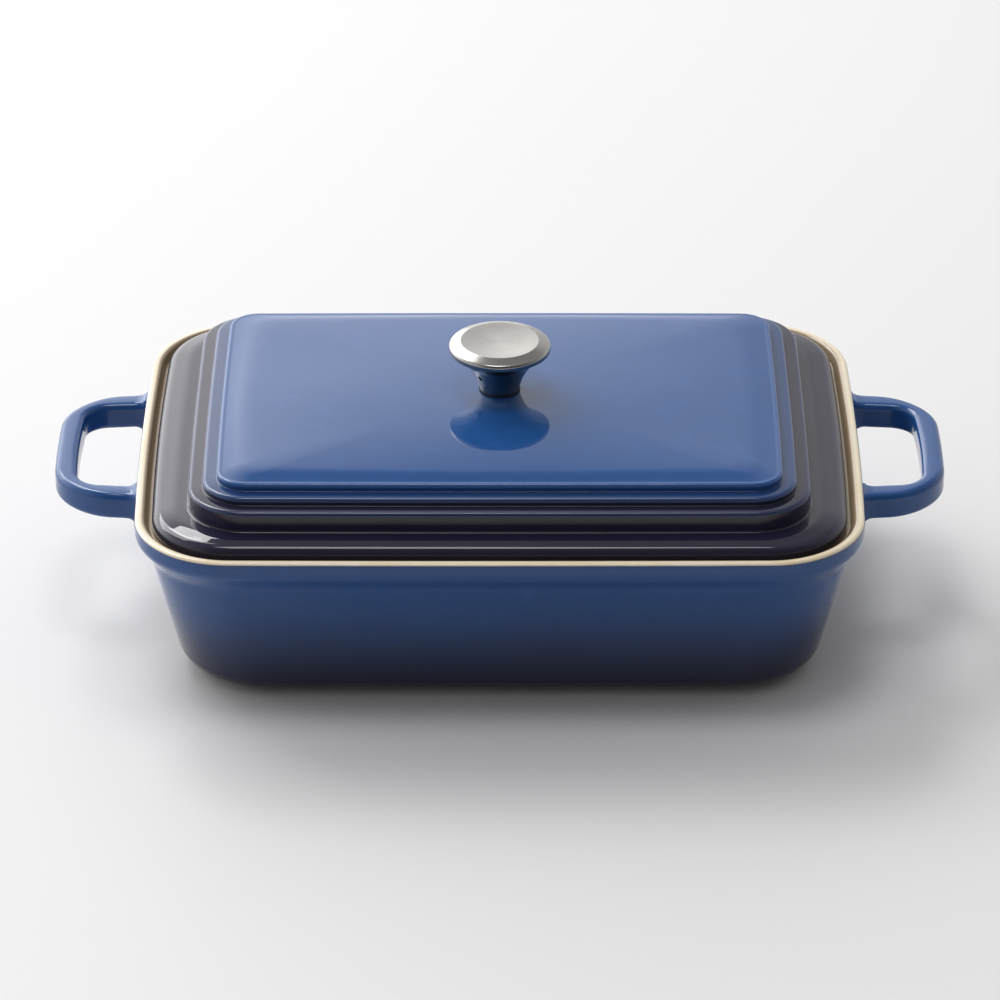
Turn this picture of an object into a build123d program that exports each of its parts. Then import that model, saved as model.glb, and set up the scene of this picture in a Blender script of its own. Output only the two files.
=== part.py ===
from build123d import *
import math
import os

# Covered casserole dish: stoneware dish and stepped lid with a turned steel knob.
# Millimetres, +Z up, origin on the table under the middle of the dish, long side along X.

# ---------------------------------------------------------------- dish sizes
RIM_LENGTH = 320.0  # over the rim, without the handles
RIM_WIDTH = 229.0
RIM_HEIGHT = 77.5  # table to the top of the rim
RIM_CORNER = 43.0  # plan radius of the rim corners
END_BOW = 2.8  # how far the short sides bulge
SIDE_BOW = 0.8  # how far the long sides bulge
RIM_WALL = 5.0  # thickness of the standing rim
RIM_ROUND = 2.2  # rounding along the top of the rim
COLLAR_HEIGHT = 11.5  # thick band under the rim, to the middle of its sloping underside
COLLAR_STEP = 5.4  # how far the band stands out from the wall
COLLAR_TAPER = 6.0  # height of its sloping underside
COLLAR_ROUND = 4.0  # soft corner above that slope
COLLAR_COVE = 8.0  # hollow corner below it
WALL_DRAFT = 11.8  # degrees, outside wall
BASE_CORNER = 37.0  # plan radius of the corners at the foot of the wall
BASE_ROUND = 12.5  # outside radius where wall meets base
FLOOR_THICKNESS = 6.5
CAVITY_DRAFT = 10.5  # degrees, inside wall
CAVITY_ROUND = 18.0  # inside radius at the floor
FOOT_HEIGHT = 1.6
FOOT_INSET = 10.5  # foot edge in from the end of the wall taper
FOOT_WIDTH = 7.0
FOOT_OVERLAP = 3.0  # how far the foot runs up into the floor

# ---------------------------------------------------------------- lid seat
SEAT_DEPTH = 4.0  # rim top down to the ledge the lid rests on
SEAT_WIDTH = 6.0  # width of that ledge
LID_CLEARANCE = 2.6  # gap all round between lid edge and rim

# ---------------------------------------------------------------- handle sizes
HANDLE_REACH = 37.4  # how far each handle stands out past the rim
HANDLE_WIDTH = 90.0  # across the outside of the loop, at the bar
HANDLE_BAR = 10.0  # width of the bar you hold
HANDLE_ARM = 9.6  # width of the two arms, at the bar
HANDLE_SPLAY = 3.6  # how far each arm's outer edge spreads on its way to the rim
FINGER_SPLAY = 2.0  # the same for its inner edge
HANDLE_THICKNESS = 12.4
HANDLE_DROP = 2.8  # rim top down to the handle top
HANDLE_CORNER = 28.0
FINGER_CORNER = 10.5  # corner radius of the opening
HANDLE_BOW = 1.6  # how far the bar bulges outwards
HANDLE_ROUND = 3.0  # softened edges of the loop
HANDLE_ROOT = 9.0  # how far each arm runs back into the collar
HANDLE_FLARE = 2.4  # extra width of each arm where it leaves the rim
FLARE_LENGTH = 5.0

# ---------------------------------------------------------------- lid sizes
LID_EDGE = 8.6  # thickness of the lid at its outer edge
LID_SHOULDER = 4.4  # rounding over the outer edge
LID_FOOT_ROUND = 1.6
END_FLANGE = 16.8  # lid edge in to the lowest step, at the short sides
SIDE_FLANGE = 12.4  # the same, at the long sides
STEP_END_BOW = 0.8  # bulge of the steps, at the short sides
STEP_SIDE_BOW = 0.5
STEP_WIDTH = 6.2  # tread of each step
STEP_RISE = (9.6, 3.7, 3.4)  # lowest step first
STEP_ROUND = 1.7
STEP_CORNER_SHRINK = 6.0  # corner radius lost at each step
LOWEST_CORNER = 25.0
COVE_ROUND = 3.0  # hollow curve from the flange up to the lowest step
TREAD_COVE = 1.5
CROWN = 3.7  # rise of the plateau in the middle
CROWN_REACH = 0.80  # share of the half width over which it rises
CROWN_SECTIONS = 6
CROWN_MARGIN = 0.5  # flat strip between the rounded edge and the crown
LID_MOUTH_INSET = 17.5  # lid edge in to the hollow underneath
LID_MOUTH_CORNER_SHRINK = 14.0
LID_PAD_INSET = 10.0  # plateau edge in to the crowned part of the ceiling
LID_HOLLOW_DRAFT = 22.0
LID_HOLLOW_ROUND = 9.0
LID_WALL = 6.2  # thickness of the plateau

# ---------------------------------------------------------------- knob sizes
KNOB_DIAMETER = 45.0
KNOB_SKIN = 1.4  # thickness of the steel
NECK_FOOT_DIAMETER = 17.6
FLARE_HEIGHT = 18.9  # foot of the knob up to the seam of the head
FLARE_HOLLOW = 3.2  # how far the flare curves in from a straight cone
HEAD_EDGE = 2.6  # height of the straight edge band
HEAD_BEVEL = 1.9  # rise of the bevel above the edge band
DISC_DIAMETER = 34.6  # top face inside the bevel
DISC_DISH = 0.6  # hollow in the middle of the top face
DISH_SHARE = 0.75  # share of that hollow already reached half way in
HEAD_ROUND = 0.7  # softened edges of the head
SEAM_LIP = 1.6  # width of the ring where flare and cap meet
VENT_DIAMETER = 2.4
VENT_HEIGHT = 8.2
VENT_BEARING = 222.0  # degrees round from +X

# ---------------------------------------------------------------- fastening sizes
SCREW_DIAMETER = 5.0
SCREW_PLAY = 0.35  # screw to the holes it passes through
THREAD_PLAY = 0.1  # screw to the threaded bush
SCREW_HEAD_DIAMETER = 9.6
SCREW_HEAD_HEIGHT = 3.2
SLOT_WIDTH = 1.4
SLOT_DEPTH = 1.6
SCREW_GRIP = 9.0  # length of screw inside the bush
SCREW_TIP = 0.5  # bevel at the end of the screw
BUSH_DIAMETER = 11.0
BUSH_LENGTH = 11.0
BUSH_CHAMFER = 0.8
WASHER_DIAMETER = 15.0
WASHER_THICKNESS = 1.2
SEAL_DIAMETER = 18.0
SEAL_THICKNESS = 1.5
GASKET_OVERHANG = 0.35  # gasket past the foot of the knob
GASKET_THICKNESS = 0.8
LID_HOLE_DIAMETER = 6.5

# ---------------------------------------------------------------- modelling
EDGE_MATCH = 0.05  # how near an edge must lie to the line it is picked by
POINT_MATCH = 0.01  # how near a corner must lie to the place it is picked by
OVERCUT = 1.0  # how far a cutting shape runs past the face it opens

# ---------------------------------------------------------------- derived sizes
COLLAR_FOOT = RIM_HEIGHT - COLLAR_HEIGHT - COLLAR_TAPER / 2
SEAT_LEVEL = RIM_HEIGHT - SEAT_DEPTH
LID_LENGTH = RIM_LENGTH - 2 * (RIM_WALL + LID_CLEARANCE)
LID_WIDTH = RIM_WIDTH - 2 * (RIM_WALL + LID_CLEARANCE)
LID_CORNER = RIM_CORNER - RIM_WALL - LID_CLEARANCE
FLANGE_LEVEL = SEAT_LEVEL + LID_EDGE
PLATEAU_EDGE = FLANGE_LEVEL + sum(STEP_RISE)
PLATEAU_TOP = PLATEAU_EDGE + CROWN
CEILING = PLATEAU_TOP - LID_WALL
KNOB_FOOT = PLATEAU_TOP + GASKET_THICKNESS
SEAM_LEVEL = KNOB_FOOT + FLARE_HEIGHT
DISC_LEVEL = SEAM_LEVEL + HEAD_EDGE + HEAD_BEVEL
WASHER_TOP = CEILING - SEAL_THICKNESS
HEAD_SEAT = WASHER_TOP - WASHER_THICKNESS


def bowed_outline(length, width, corner, level, end_bow=END_BOW, side_bow=SIDE_BOW):
    """Rounded rectangle with gently bulging sides, as a face at the given height."""
    end = length / 2 - end_bow
    side = width / 2 - side_bow
    edges = [
        ThreePointArc((end, -side), (length / 2, 0), (end, side)),
        ThreePointArc((end, side), (0, width / 2), (-end, side)),
        ThreePointArc((-end, side), (-length / 2, 0), (-end, -side)),
        ThreePointArc((-end, -side), (0, -width / 2), (end, -side)),
    ]
    sharp = make_face(edges)
    rounded = fillet(sharp.vertices(), corner)
    return Pos(0, 0, level) * rounded


def rim_outline(inset, level):
    """Outline of the rim brought in by the given amount."""
    return bowed_outline(
        RIM_LENGTH - 2 * inset, RIM_WIDTH - 2 * inset, RIM_CORNER - inset, level
    )


def edges_at(solid, level, tolerance=POINT_MATCH):
    """Edges of a solid that lie flat at one height."""
    return [
        edge
        for edge in solid.edges()
        if abs(edge.bounding_box().min.Z - level) < tolerance
        and abs(edge.bounding_box().max.Z - level) < tolerance
    ]


def edges_along(solid, outline, reach):
    """Level edges of a solid that follow an outline drawn at the same height."""
    wire = outline.face().outer_wire()
    level = outline.center().Z
    return [edge for edge in edges_at(solid, level) if wire.distance_to(edge.center()) < reach]


def wall_inset(level):
    """How far the outside wall stands in from the rim at a height."""
    drop = RIM_HEIGHT - COLLAR_HEIGHT - level
    return COLLAR_STEP + drop * math.tan(math.radians(WALL_DRAFT))


# ---------------------------------------------------------------- dish
def dish_outside():
    """Outside shape of the dish: sloping wall under a thick collar."""
    end = wall_inset(FOOT_HEIGHT)
    sections = [
        bowed_outline(RIM_LENGTH - 2 * end, RIM_WIDTH - 2 * end, BASE_CORNER, FOOT_HEIGHT),
        rim_outline(wall_inset(COLLAR_FOOT), COLLAR_FOOT),
        rim_outline(0, COLLAR_FOOT + COLLAR_TAPER),
        rim_outline(0, RIM_HEIGHT),
    ]
    block = loft(sections, ruled=True)
    block = fillet(edges_at(block, COLLAR_FOOT), COLLAR_COVE)
    block = fillet(edges_at(block, COLLAR_FOOT + COLLAR_TAPER), COLLAR_ROUND)
    return fillet(edges_at(block, FOOT_HEIGHT), BASE_ROUND)


def foot_ring():
    """Raised unglazed ring the dish stands on."""
    inset = wall_inset(FOOT_HEIGHT) + FOOT_INSET
    outer = foot_outline(inset, BASE_CORNER - FOOT_INSET)
    inner = foot_outline(inset + FOOT_WIDTH, BASE_CORNER - FOOT_INSET - FOOT_WIDTH)
    band = extrude(outer, amount=FOOT_HEIGHT + FOOT_OVERLAP)
    return band - extrude(inner, amount=FOOT_HEIGHT)


def foot_outline(inset, corner):
    """Outline of one edge of the foot, at table height."""
    return bowed_outline(RIM_LENGTH - 2 * inset, RIM_WIDTH - 2 * inset, corner, 0)


def rounded_tips(outline, place, radius):
    """Rounds the corners of an outline that lie at one distance out along X."""
    tips = [corner for corner in outline.vertices() if abs(corner.X - place) < POINT_MATCH]
    return fillet(tips, radius)


def handle_outline(side):
    """Plan shape of one handle loop, side = 1 for +X and -1 for -X."""
    root = RIM_LENGTH / 2 - HANDLE_ROOT
    reach = RIM_LENGTH / 2 + HANDLE_REACH
    half = HANDLE_WIDTH / 2
    wide = half + HANDLE_SPLAY
    widest = wide + HANDLE_FLARE
    flare_start = RIM_LENGTH / 2 - END_BOW / 2
    flare_end = flare_start + FLARE_LENGTH
    corner_x = reach - HANDLE_BOW
    edges = [
        Line((root, -widest), (flare_start, -widest)),
        Line((flare_start, -widest), (flare_end, -wide)),
        Line((flare_end, -wide), (corner_x, -half)),
        ThreePointArc((corner_x, -half), (reach, 0), (corner_x, half)),
        Line((corner_x, half), (flare_end, wide)),
        Line((flare_end, wide), (flare_start, widest)),
        Line((flare_start, widest), (root, widest)),
        Line((root, widest), (root, -widest)),
    ]
    outline = rounded_tips(make_face(edges), corner_x, HANDLE_CORNER)
    outline = rounded_tips(outline, flare_end, FLARE_LENGTH)
    return outline if side > 0 else mirror(outline, Plane.YZ)


def finger_outline(side):
    """Plan shape of the opening inside one handle loop."""
    near = RIM_LENGTH / 2 - END_BOW
    far = RIM_LENGTH / 2 + HANDLE_REACH - HANDLE_BAR
    half = HANDLE_WIDTH / 2 - HANDLE_ARM
    wide = half + FINGER_SPLAY
    far_corner = far - HANDLE_BOW
    edges = [
        Line((near, -wide), (far_corner, -half)),
        ThreePointArc((far_corner, -half), (far, 0), (far_corner, half)),
        Line((far_corner, half), (near, wide)),
        Line((near, wide), (near, -wide)),
    ]
    outline = rounded_tips(make_face(edges), far_corner, FINGER_CORNER)
    return outline if side > 0 else mirror(outline, Plane.YZ)


def handle_loop(side):
    """One closed handle loop with softened edges."""
    bottom = RIM_HEIGHT - HANDLE_DROP - HANDLE_THICKNESS
    loop = extrude(Pos(0, 0, bottom) * handle_outline(side), amount=HANDLE_THICKNESS)
    loop -= extrude(Pos(0, 0, bottom) * finger_outline(side), amount=HANDLE_THICKNESS)
    inner_limit = RIM_LENGTH / 2 - HANDLE_ROOT + POINT_MATCH
    soft = [
        edge
        for edge in edges_at(loop, bottom) + edges_at(loop, bottom + HANDLE_THICKNESS)
        if abs(edge.center().X) > inner_limit
    ]
    return fillet(soft, HANDLE_ROUND)


def dish():
    """The dish: wall, collar, foot, both handles, lid seat and cavity."""
    body = dish_outside()
    body += handle_loop(1)
    body += handle_loop(-1)
    body += foot_ring()
    seat = extrude(rim_outline(RIM_WALL, SEAT_LEVEL), amount=SEAT_DEPTH + OVERCUT)
    cavity_depth = SEAT_LEVEL - FLOOR_THICKNESS - FOOT_HEIGHT
    mouth = rim_outline(RIM_WALL + SEAT_WIDTH, SEAT_LEVEL)
    cavity = extrude(mouth, amount=-cavity_depth, taper=CAVITY_DRAFT)
    cavity = fillet(edges_at(cavity, FLOOR_THICKNESS + FOOT_HEIGHT), CAVITY_ROUND)
    body = body - seat - cavity
    return fillet(edges_at(body, RIM_HEIGHT), RIM_ROUND)


# ---------------------------------------------------------------- lid
def step_outline(index, inset, level):
    """Outline of one step of the lid, brought in by a further inset."""
    run = index * STEP_WIDTH + inset
    return bowed_outline(
        LID_LENGTH - 2 * (END_FLANGE + run),
        LID_WIDTH - 2 * (SIDE_FLANGE + run),
        LOWEST_CORNER - index * STEP_CORNER_SHRINK - inset,
        level,
        STEP_END_BOW,
        STEP_SIDE_BOW,
    )


def step_top(index):
    """Height of the top of one step."""
    return FLANGE_LEVEL + sum(STEP_RISE[: index + 1])


def step_block(index):
    """One raised step of the lid, counted from the lowest."""
    floor = SEAT_LEVEL + LID_EDGE / 2
    top = step_top(index)
    block = extrude(step_outline(index, 0, floor), amount=top - floor)
    return fillet(edges_at(block, top), STEP_ROUND)


def crowned_pad(outline, level):
    """Shallow dome over an outline drawn at zero height, steepest near its edge."""
    sections = []
    for index in range(CROWN_SECTIONS + 1):
        share = index / CROWN_SECTIONS
        shrink = 1 - CROWN_REACH * share
        height = CROWN * (1 - (1 - share) ** 2)
        section = scale(outline, by=(shrink, shrink, 1))
        sections.append(Pos(0, 0, level + height) * section)
    return loft(sections)


def lid_hollow():
    """Space under the lid: sloping sides, rounded top corner, crowned ceiling."""
    mouth = bowed_outline(
        LID_LENGTH - 2 * LID_MOUTH_INSET,
        LID_WIDTH - 2 * LID_MOUTH_INSET,
        LID_CORNER - LID_MOUTH_CORNER_SHRINK,
        SEAT_LEVEL,
    )
    top = CEILING - CROWN
    height = top - SEAT_LEVEL
    space = extrude(mouth, amount=height, taper=LID_HOLLOW_DRAFT)
    space = fillet(edges_at(space, top), LID_HOLLOW_ROUND)
    pad = step_outline(len(STEP_RISE) - 1, LID_PAD_INSET, 0)
    return space + crowned_pad(pad, top)


def lid():
    """The lid: flange, three steps, crowned plateau, hollow underside, screw hole."""
    flange = extrude(bowed_outline(LID_LENGTH, LID_WIDTH, LID_CORNER, SEAT_LEVEL), amount=LID_EDGE)
    flange = fillet(edges_at(flange, FLANGE_LEVEL), LID_SHOULDER)
    body = fillet(edges_at(flange, SEAT_LEVEL), LID_FOOT_ROUND)
    level = FLANGE_LEVEL
    for index in range(len(STEP_RISE)):
        body += step_block(index)
        cove = COVE_ROUND if index == 0 else TREAD_COVE
        body = fillet(edges_along(body, step_outline(index, 0, level), EDGE_MATCH), cove)
        level = step_top(index)
    crown = step_outline(len(STEP_RISE) - 1, STEP_ROUND + CROWN_MARGIN, 0)
    body += crowned_pad(crown, PLATEAU_EDGE)
    body -= lid_hollow()
    hole = Cylinder(LID_HOLE_DIAMETER / 2, PLATEAU_TOP, align=(Align.CENTER, Align.CENTER, Align.MIN))
    return body - hole


# ---------------------------------------------------------------- knob
def turned(edges):
    """Solid of revolution about +Z from the edges of a (radius, height) profile."""
    return revolve(Plane.XZ * make_face(edges), axis=Axis.Z)


def profile_lines(points):
    """Straight edges joining (radius, height) points in order."""
    return [Line(start, end) for start, end in zip(points, points[1:])]


def ring(outer, inner, level, thickness):
    """Flat washer shape standing at the given height."""
    disc = Cylinder(outer / 2, thickness, align=(Align.CENTER, Align.CENTER, Align.MIN))
    hole = Cylinder(inner / 2, thickness, align=(Align.CENTER, Align.CENTER, Align.MIN))
    return Pos(0, 0, level) * (disc - hole)


def flare(foot_radius, foot_level, top_radius):
    """Solid trumpet shape from a foot up to the seam of the head."""
    foot = (foot_radius, foot_level)
    top = (top_radius, SEAM_LEVEL)
    waist = ((foot_radius + top_radius) / 2 - FLARE_HOLLOW, (foot_level + SEAM_LEVEL) / 2)
    rest = profile_lines([top, (0, SEAM_LEVEL), (0, foot_level), foot])
    return turned([ThreePointArc(foot, waist, top)] + rest)


def knob_body():
    """Flared steel shell from the foot to the head, open at the top, with a vent hole."""
    foot = NECK_FOOT_DIAMETER / 2
    edge = KNOB_DIAMETER / 2
    shell = flare(foot, KNOB_FOOT, edge)
    shell -= flare(foot - KNOB_SKIN, KNOB_FOOT + KNOB_SKIN, edge - SEAM_LIP)
    shell -= Pos(0, 0, KNOB_FOOT) * Cylinder(SCREW_DIAMETER / 2 + SCREW_PLAY, 3 * KNOB_SKIN)
    drill = Cylinder(VENT_DIAMETER / 2, edge, align=(Align.CENTER, Align.CENTER, Align.MIN))
    return shell - Pos(0, 0, KNOB_FOOT + VENT_HEIGHT) * Rot(0, 0, VENT_BEARING) * Rot(0, 90, 0) * drill


def knob_cap():
    """Top of the knob head: edge band, bevel and dished disc over a hollow."""
    edge = KNOB_DIAMETER / 2
    disc = DISC_DIAMETER / 2
    band = SEAM_LEVEL + HEAD_EDGE
    middle = DISC_LEVEL - DISC_DISH
    side = profile_lines([(0, SEAM_LEVEL), (edge, SEAM_LEVEL), (edge, band), (disc, DISC_LEVEL)])
    dish_arc = ThreePointArc(
        (disc, DISC_LEVEL), (disc / 2, DISC_LEVEL - DISC_DISH * DISH_SHARE), (0, middle)
    )
    outer = turned(side + [dish_arc, Line((0, middle), (0, SEAM_LEVEL))])
    inner = turned(
        profile_lines(
            [
                (0, SEAM_LEVEL),
                (edge - SEAM_LIP, SEAM_LEVEL),
                (edge - SEAM_LIP, band - KNOB_SKIN / 2),
                (disc - KNOB_SKIN / 2, DISC_LEVEL - KNOB_SKIN),
                (0, middle - KNOB_SKIN),
                (0, SEAM_LEVEL),
            ]
        )
    )
    shell = outer - inner
    return fillet(edges_at(shell, band) + edges_at(shell, DISC_LEVEL), HEAD_ROUND)


def knob_bush():
    """Threaded bush welded inside the foot of the knob."""
    bush = ring(BUSH_DIAMETER, SCREW_DIAMETER + 2 * THREAD_PLAY, KNOB_FOOT + KNOB_SKIN, BUSH_LENGTH)
    return chamfer(edges_at(bush, KNOB_FOOT + KNOB_SKIN + BUSH_LENGTH), BUSH_CHAMFER)


def knob_screw():
    """Screw that holds the knob, put in from under the lid."""
    head = Cylinder(
        SCREW_HEAD_DIAMETER / 2, SCREW_HEAD_HEIGHT, align=(Align.CENTER, Align.CENTER, Align.MAX)
    )
    head = fillet(edges_at(head, -SCREW_HEAD_HEIGHT), SCREW_HEAD_HEIGHT / 2)
    slot = Box(
        SCREW_HEAD_DIAMETER, SLOT_WIDTH, SLOT_DEPTH, align=(Align.CENTER, Align.CENTER, Align.MIN)
    )
    head -= Pos(0, 0, -SCREW_HEAD_HEIGHT) * slot
    length = KNOB_FOOT + KNOB_SKIN + SCREW_GRIP - HEAD_SEAT
    shank = Cylinder(SCREW_DIAMETER / 2, length, align=(Align.CENTER, Align.CENTER, Align.MIN))
    return Pos(0, 0, HEAD_SEAT) * (head + chamfer(edges_at(shank, length), SCREW_TIP))


def main():
    """Write one file for each piece."""
    os.makedirs("parts", exist_ok=True)
    passage = SCREW_DIAMETER + 2 * SCREW_PLAY
    gasket = NECK_FOOT_DIAMETER + 2 * GASKET_OVERHANG
    pieces = {
        "dish": dish(),
        "lid": lid(),
        "knob_gasket": ring(gasket, LID_HOLE_DIAMETER, PLATEAU_TOP, GASKET_THICKNESS),
        "knob_body": knob_body(),
        "knob_cap": knob_cap(),
        "knob_bush": knob_bush(),
        "knob_screw": knob_screw(),
        "screw_washer": ring(WASHER_DIAMETER, passage, HEAD_SEAT, WASHER_THICKNESS),
        "lid_seal": ring(SEAL_DIAMETER, passage, WASHER_TOP, SEAL_THICKNESS),
    }
    for name, piece in pieces.items():
        export_step(piece, f"parts/{name}.step")


main()
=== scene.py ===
"""Looks of a covered stoneware casserole dish: glazed dish and lid, turned steel knob."""

import logging
import math
from dataclasses import dataclass, field, replace
from enum import Enum
from typing import Callable, Iterable, Optional, Sequence

import bmesh
import bpy
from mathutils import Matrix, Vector


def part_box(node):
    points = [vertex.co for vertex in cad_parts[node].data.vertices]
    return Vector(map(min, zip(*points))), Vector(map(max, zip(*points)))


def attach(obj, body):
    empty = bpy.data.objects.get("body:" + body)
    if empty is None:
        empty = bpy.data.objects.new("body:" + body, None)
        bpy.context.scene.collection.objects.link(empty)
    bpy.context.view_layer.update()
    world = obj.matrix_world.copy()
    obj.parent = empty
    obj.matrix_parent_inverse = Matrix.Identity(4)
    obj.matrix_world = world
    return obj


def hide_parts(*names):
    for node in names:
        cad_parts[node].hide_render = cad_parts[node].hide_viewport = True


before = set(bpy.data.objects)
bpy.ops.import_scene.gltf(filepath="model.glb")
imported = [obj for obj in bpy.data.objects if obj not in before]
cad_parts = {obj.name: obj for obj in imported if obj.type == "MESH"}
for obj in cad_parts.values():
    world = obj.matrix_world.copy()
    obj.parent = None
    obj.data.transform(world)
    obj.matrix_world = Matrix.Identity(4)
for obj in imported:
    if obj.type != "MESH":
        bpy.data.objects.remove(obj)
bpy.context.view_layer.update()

MM = 0.001
TINY = 1e-7  # shorter than any step of a profile, in metres
CENTRE_ROUNDS = 60  # rounds after which a corner's centre stands still
LEAST_RADIUS = 0.01 * MM  # of a ring that closes a turned piece in the middle
FAR = 40.0  # millimetres that keep a glaze value well away from an edge
LOG = logging.getLogger("casserole")

Colour = tuple[float, float, float]
Point = tuple[float, float, float]


# ---------------------------------------------------------------- shape tools
@dataclass(frozen=True)
class Plan:
    """Rounded rectangle with bulging sides, in metres.

    The sides are arcs of large radius and the corners are arcs tangent to them.
    """

    half_x: float
    half_y: float
    corner: float
    end_bow: float
    side_bow: float

    def ring(self, per_corner: int, per_end: int, per_side: int) -> list[tuple[float, float]]:
        """Points once round the outline, anticlockwise from the middle of the right side.

        Args:
            per_corner: Points on each corner arc.
            per_end: Points on half of each short side.
            per_side: Points on half of each long side.

        Returns:
            The outline's points, the same number for every plan.
        """
        end_radius = self._arc_radius(self.half_y, self.end_bow)
        side_radius = self._arc_radius(self.half_x, self.side_bow)
        end_centre = self.half_x - end_radius
        side_centre = self.half_y - side_radius
        corner = min(self.corner, 0.98 * min(self.half_x, self.half_y))
        cx, cy = self._corner_centre(end_centre, end_radius - corner, side_centre, side_radius - corner)
        end_angle = math.atan2(cy, cx - end_centre)
        side_angle = math.atan2(cy - side_centre, cx)
        quarter: list[tuple[float, float]] = []
        for k in range(per_end):
            a = end_angle * k / per_end
            quarter.append((end_centre + end_radius * math.cos(a), end_radius * math.sin(a)))
        for k in range(per_corner):
            a = end_angle + (side_angle - end_angle) * k / per_corner
            quarter.append((cx + corner * math.cos(a), cy + corner * math.sin(a)))
        for k in range(per_side):
            a = side_angle + (math.pi / 2 - side_angle) * k / per_side
            quarter.append((side_radius * math.cos(a), side_centre + side_radius * math.sin(a)))
        quarter.append((0.0, self.half_y))
        left = [(-x, y) for x, y in reversed(quarter[:-1])]
        half = quarter + left
        lower = [(x, -y) for x, y in reversed(half[1:-1])]
        return half + lower

    @staticmethod
    def _arc_radius(half_chord: float, bow: float) -> float:
        """Radius of the arc that bulges by bow over a chord."""
        return (half_chord**2 + bow**2) / (2 * bow)

    @staticmethod
    def _corner_centre(
        end_centre: float, end_reach: float, side_centre: float, side_reach: float
    ) -> tuple[float, float]:
        """Where the corner arc's centre lies, tangent to both side arcs.

        Args:
            end_centre: X of the short side arc's centre.
            end_reach: Distance from that centre to the corner's centre.
            side_centre: Y of the long side arc's centre.
            side_reach: Distance from that centre to the corner's centre.

        Returns:
            X and Y of the corner arc's centre.
        """
        x, y = end_centre + end_reach, 0.0
        for _ in range(CENTRE_ROUNDS):
            y = side_centre + math.sqrt(max(side_reach**2 - x**2, 0.0))
            x = end_centre + math.sqrt(max(end_reach**2 - y**2, 0.0))
        return x, y


@dataclass(frozen=True)
class Station:
    """One corner of a wall profile: where the outline runs and how it is shaped there.

    Fields are in metres: inset from the outermost outline, height, extra inset at the
    short sides, plan radius of the corners, the bulge of both pairs of sides, and the
    radius that rounds this corner of the profile.
    """

    inset: float
    z: float
    corner: float
    round: float = 0.0
    extra: float = 0.0
    end_bow: float = 2.8 * MM
    side_bow: float = 0.8 * MM

    def towards(self, other: "Station", share: float) -> "Station":
        """A station part of the way to another one.

        Args:
            other: The station to move towards.
            share: How much of the way to go, from 0 to 1.

        Returns:
            The station between the two, with no rounding.
        """
        values = {
            name: getattr(self, name) + (getattr(other, name) - getattr(self, name)) * share
            for name in ("inset", "z", "corner", "extra", "end_bow", "side_bow")
        }
        return Station(round=0.0, **values)

    def distance(self, other: "Station") -> float:
        """Distance between two stations in the profile."""
        return math.hypot(self.inset - other.inset, self.z - other.z)


class Profile:
    """A wall profile: stations joined by straight runs, with rounded corners between."""

    STEP_ANGLE = math.radians(6)
    FEWEST_STEPS = 4
    EDGE_STEP = 0.3 * MM

    def __init__(self, stations: Sequence[Station], longest: float = 3.0 * MM) -> None:
        """Samples the profile.

        Args:
            stations: The profile's corners in order.
            longest: Longest step on a straight run.
        """
        self.longest = longest
        self.samples: list[Station] = [stations[0]]
        for before, here, after in zip(stations, stations[1:], stations[2:]):
            self._turn(before, here, after)
        self._run_to(stations[-1])

    def _turn(self, before: Station, here: Station, after: Station) -> None:
        """Adds the run up to one corner and the arc round it.

        Args:
            before: The corner before this one.
            here: The corner to round.
            after: The corner after it.
        """
        into = here.distance(before)
        out = here.distance(after)
        d1 = ((here.inset - before.inset) / into, (here.z - before.z) / into)
        d2 = ((after.inset - here.inset) / out, (after.z - here.z) / out)
        turn = math.acos(max(-1.0, min(1.0, d1[0] * d2[0] + d1[1] * d2[1])))
        reach = min(here.round * math.tan(turn / 2), 0.48 * into, 0.48 * out)
        if reach < TINY:
            self._run_to(here)
            return
        start = here.towards(before, reach / into)
        end = here.towards(after, reach / out)
        self._run_to(start)
        count = max(self.FEWEST_STEPS, int(turn / self.STEP_ANGLE))
        radius = reach / math.tan(turn / 2)
        for k in range(1, count + 1):
            angle = turn * k / count
            along = radius * math.sin(angle)
            across = radius * (1 - math.cos(angle))
            side = self._side(d1, d2)
            point = start.towards(end, k / count)
            self.samples.append(
                replace(
                    point,
                    inset=start.inset + d1[0] * along - d1[1] * across * side,
                    z=start.z + d1[1] * along + d1[0] * across * side,
                )
            )

    @staticmethod
    def _side(d1: tuple[float, float], d2: tuple[float, float]) -> float:
        """Which way the profile turns: 1 to the left, -1 to the right."""
        return 1.0 if d1[0] * d2[1] - d1[1] * d2[0] > 0 else -1.0

    def _run_to(self, end: Station) -> None:
        """Adds a straight run, with short steps beside its ends to hold the shading.

        Args:
            end: The station where the run ends.
        """
        start = self.samples[-1]
        length = start.distance(end)
        if length < TINY:
            return
        edge = min(self.EDGE_STEP, length / 4)
        inner = max(1, int((length - 2 * edge) / self.longest))
        shares = [edge / length]
        shares += [(edge + (length - 2 * edge) * k / inner) / length for k in range(1, inner + 1)]
        shares.append(1.0)
        for share in shares:
            self.samples.append(start.towards(end, share))

    def runs(self) -> list[float]:
        """Distance along the profile at each sample.

        Returns:
            The distances, in metres, starting at 0.
        """
        out = [0.0]
        for a, b in zip(self.samples, self.samples[1:]):
            out.append(out[-1] + a.distance(b))
        return out


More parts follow.
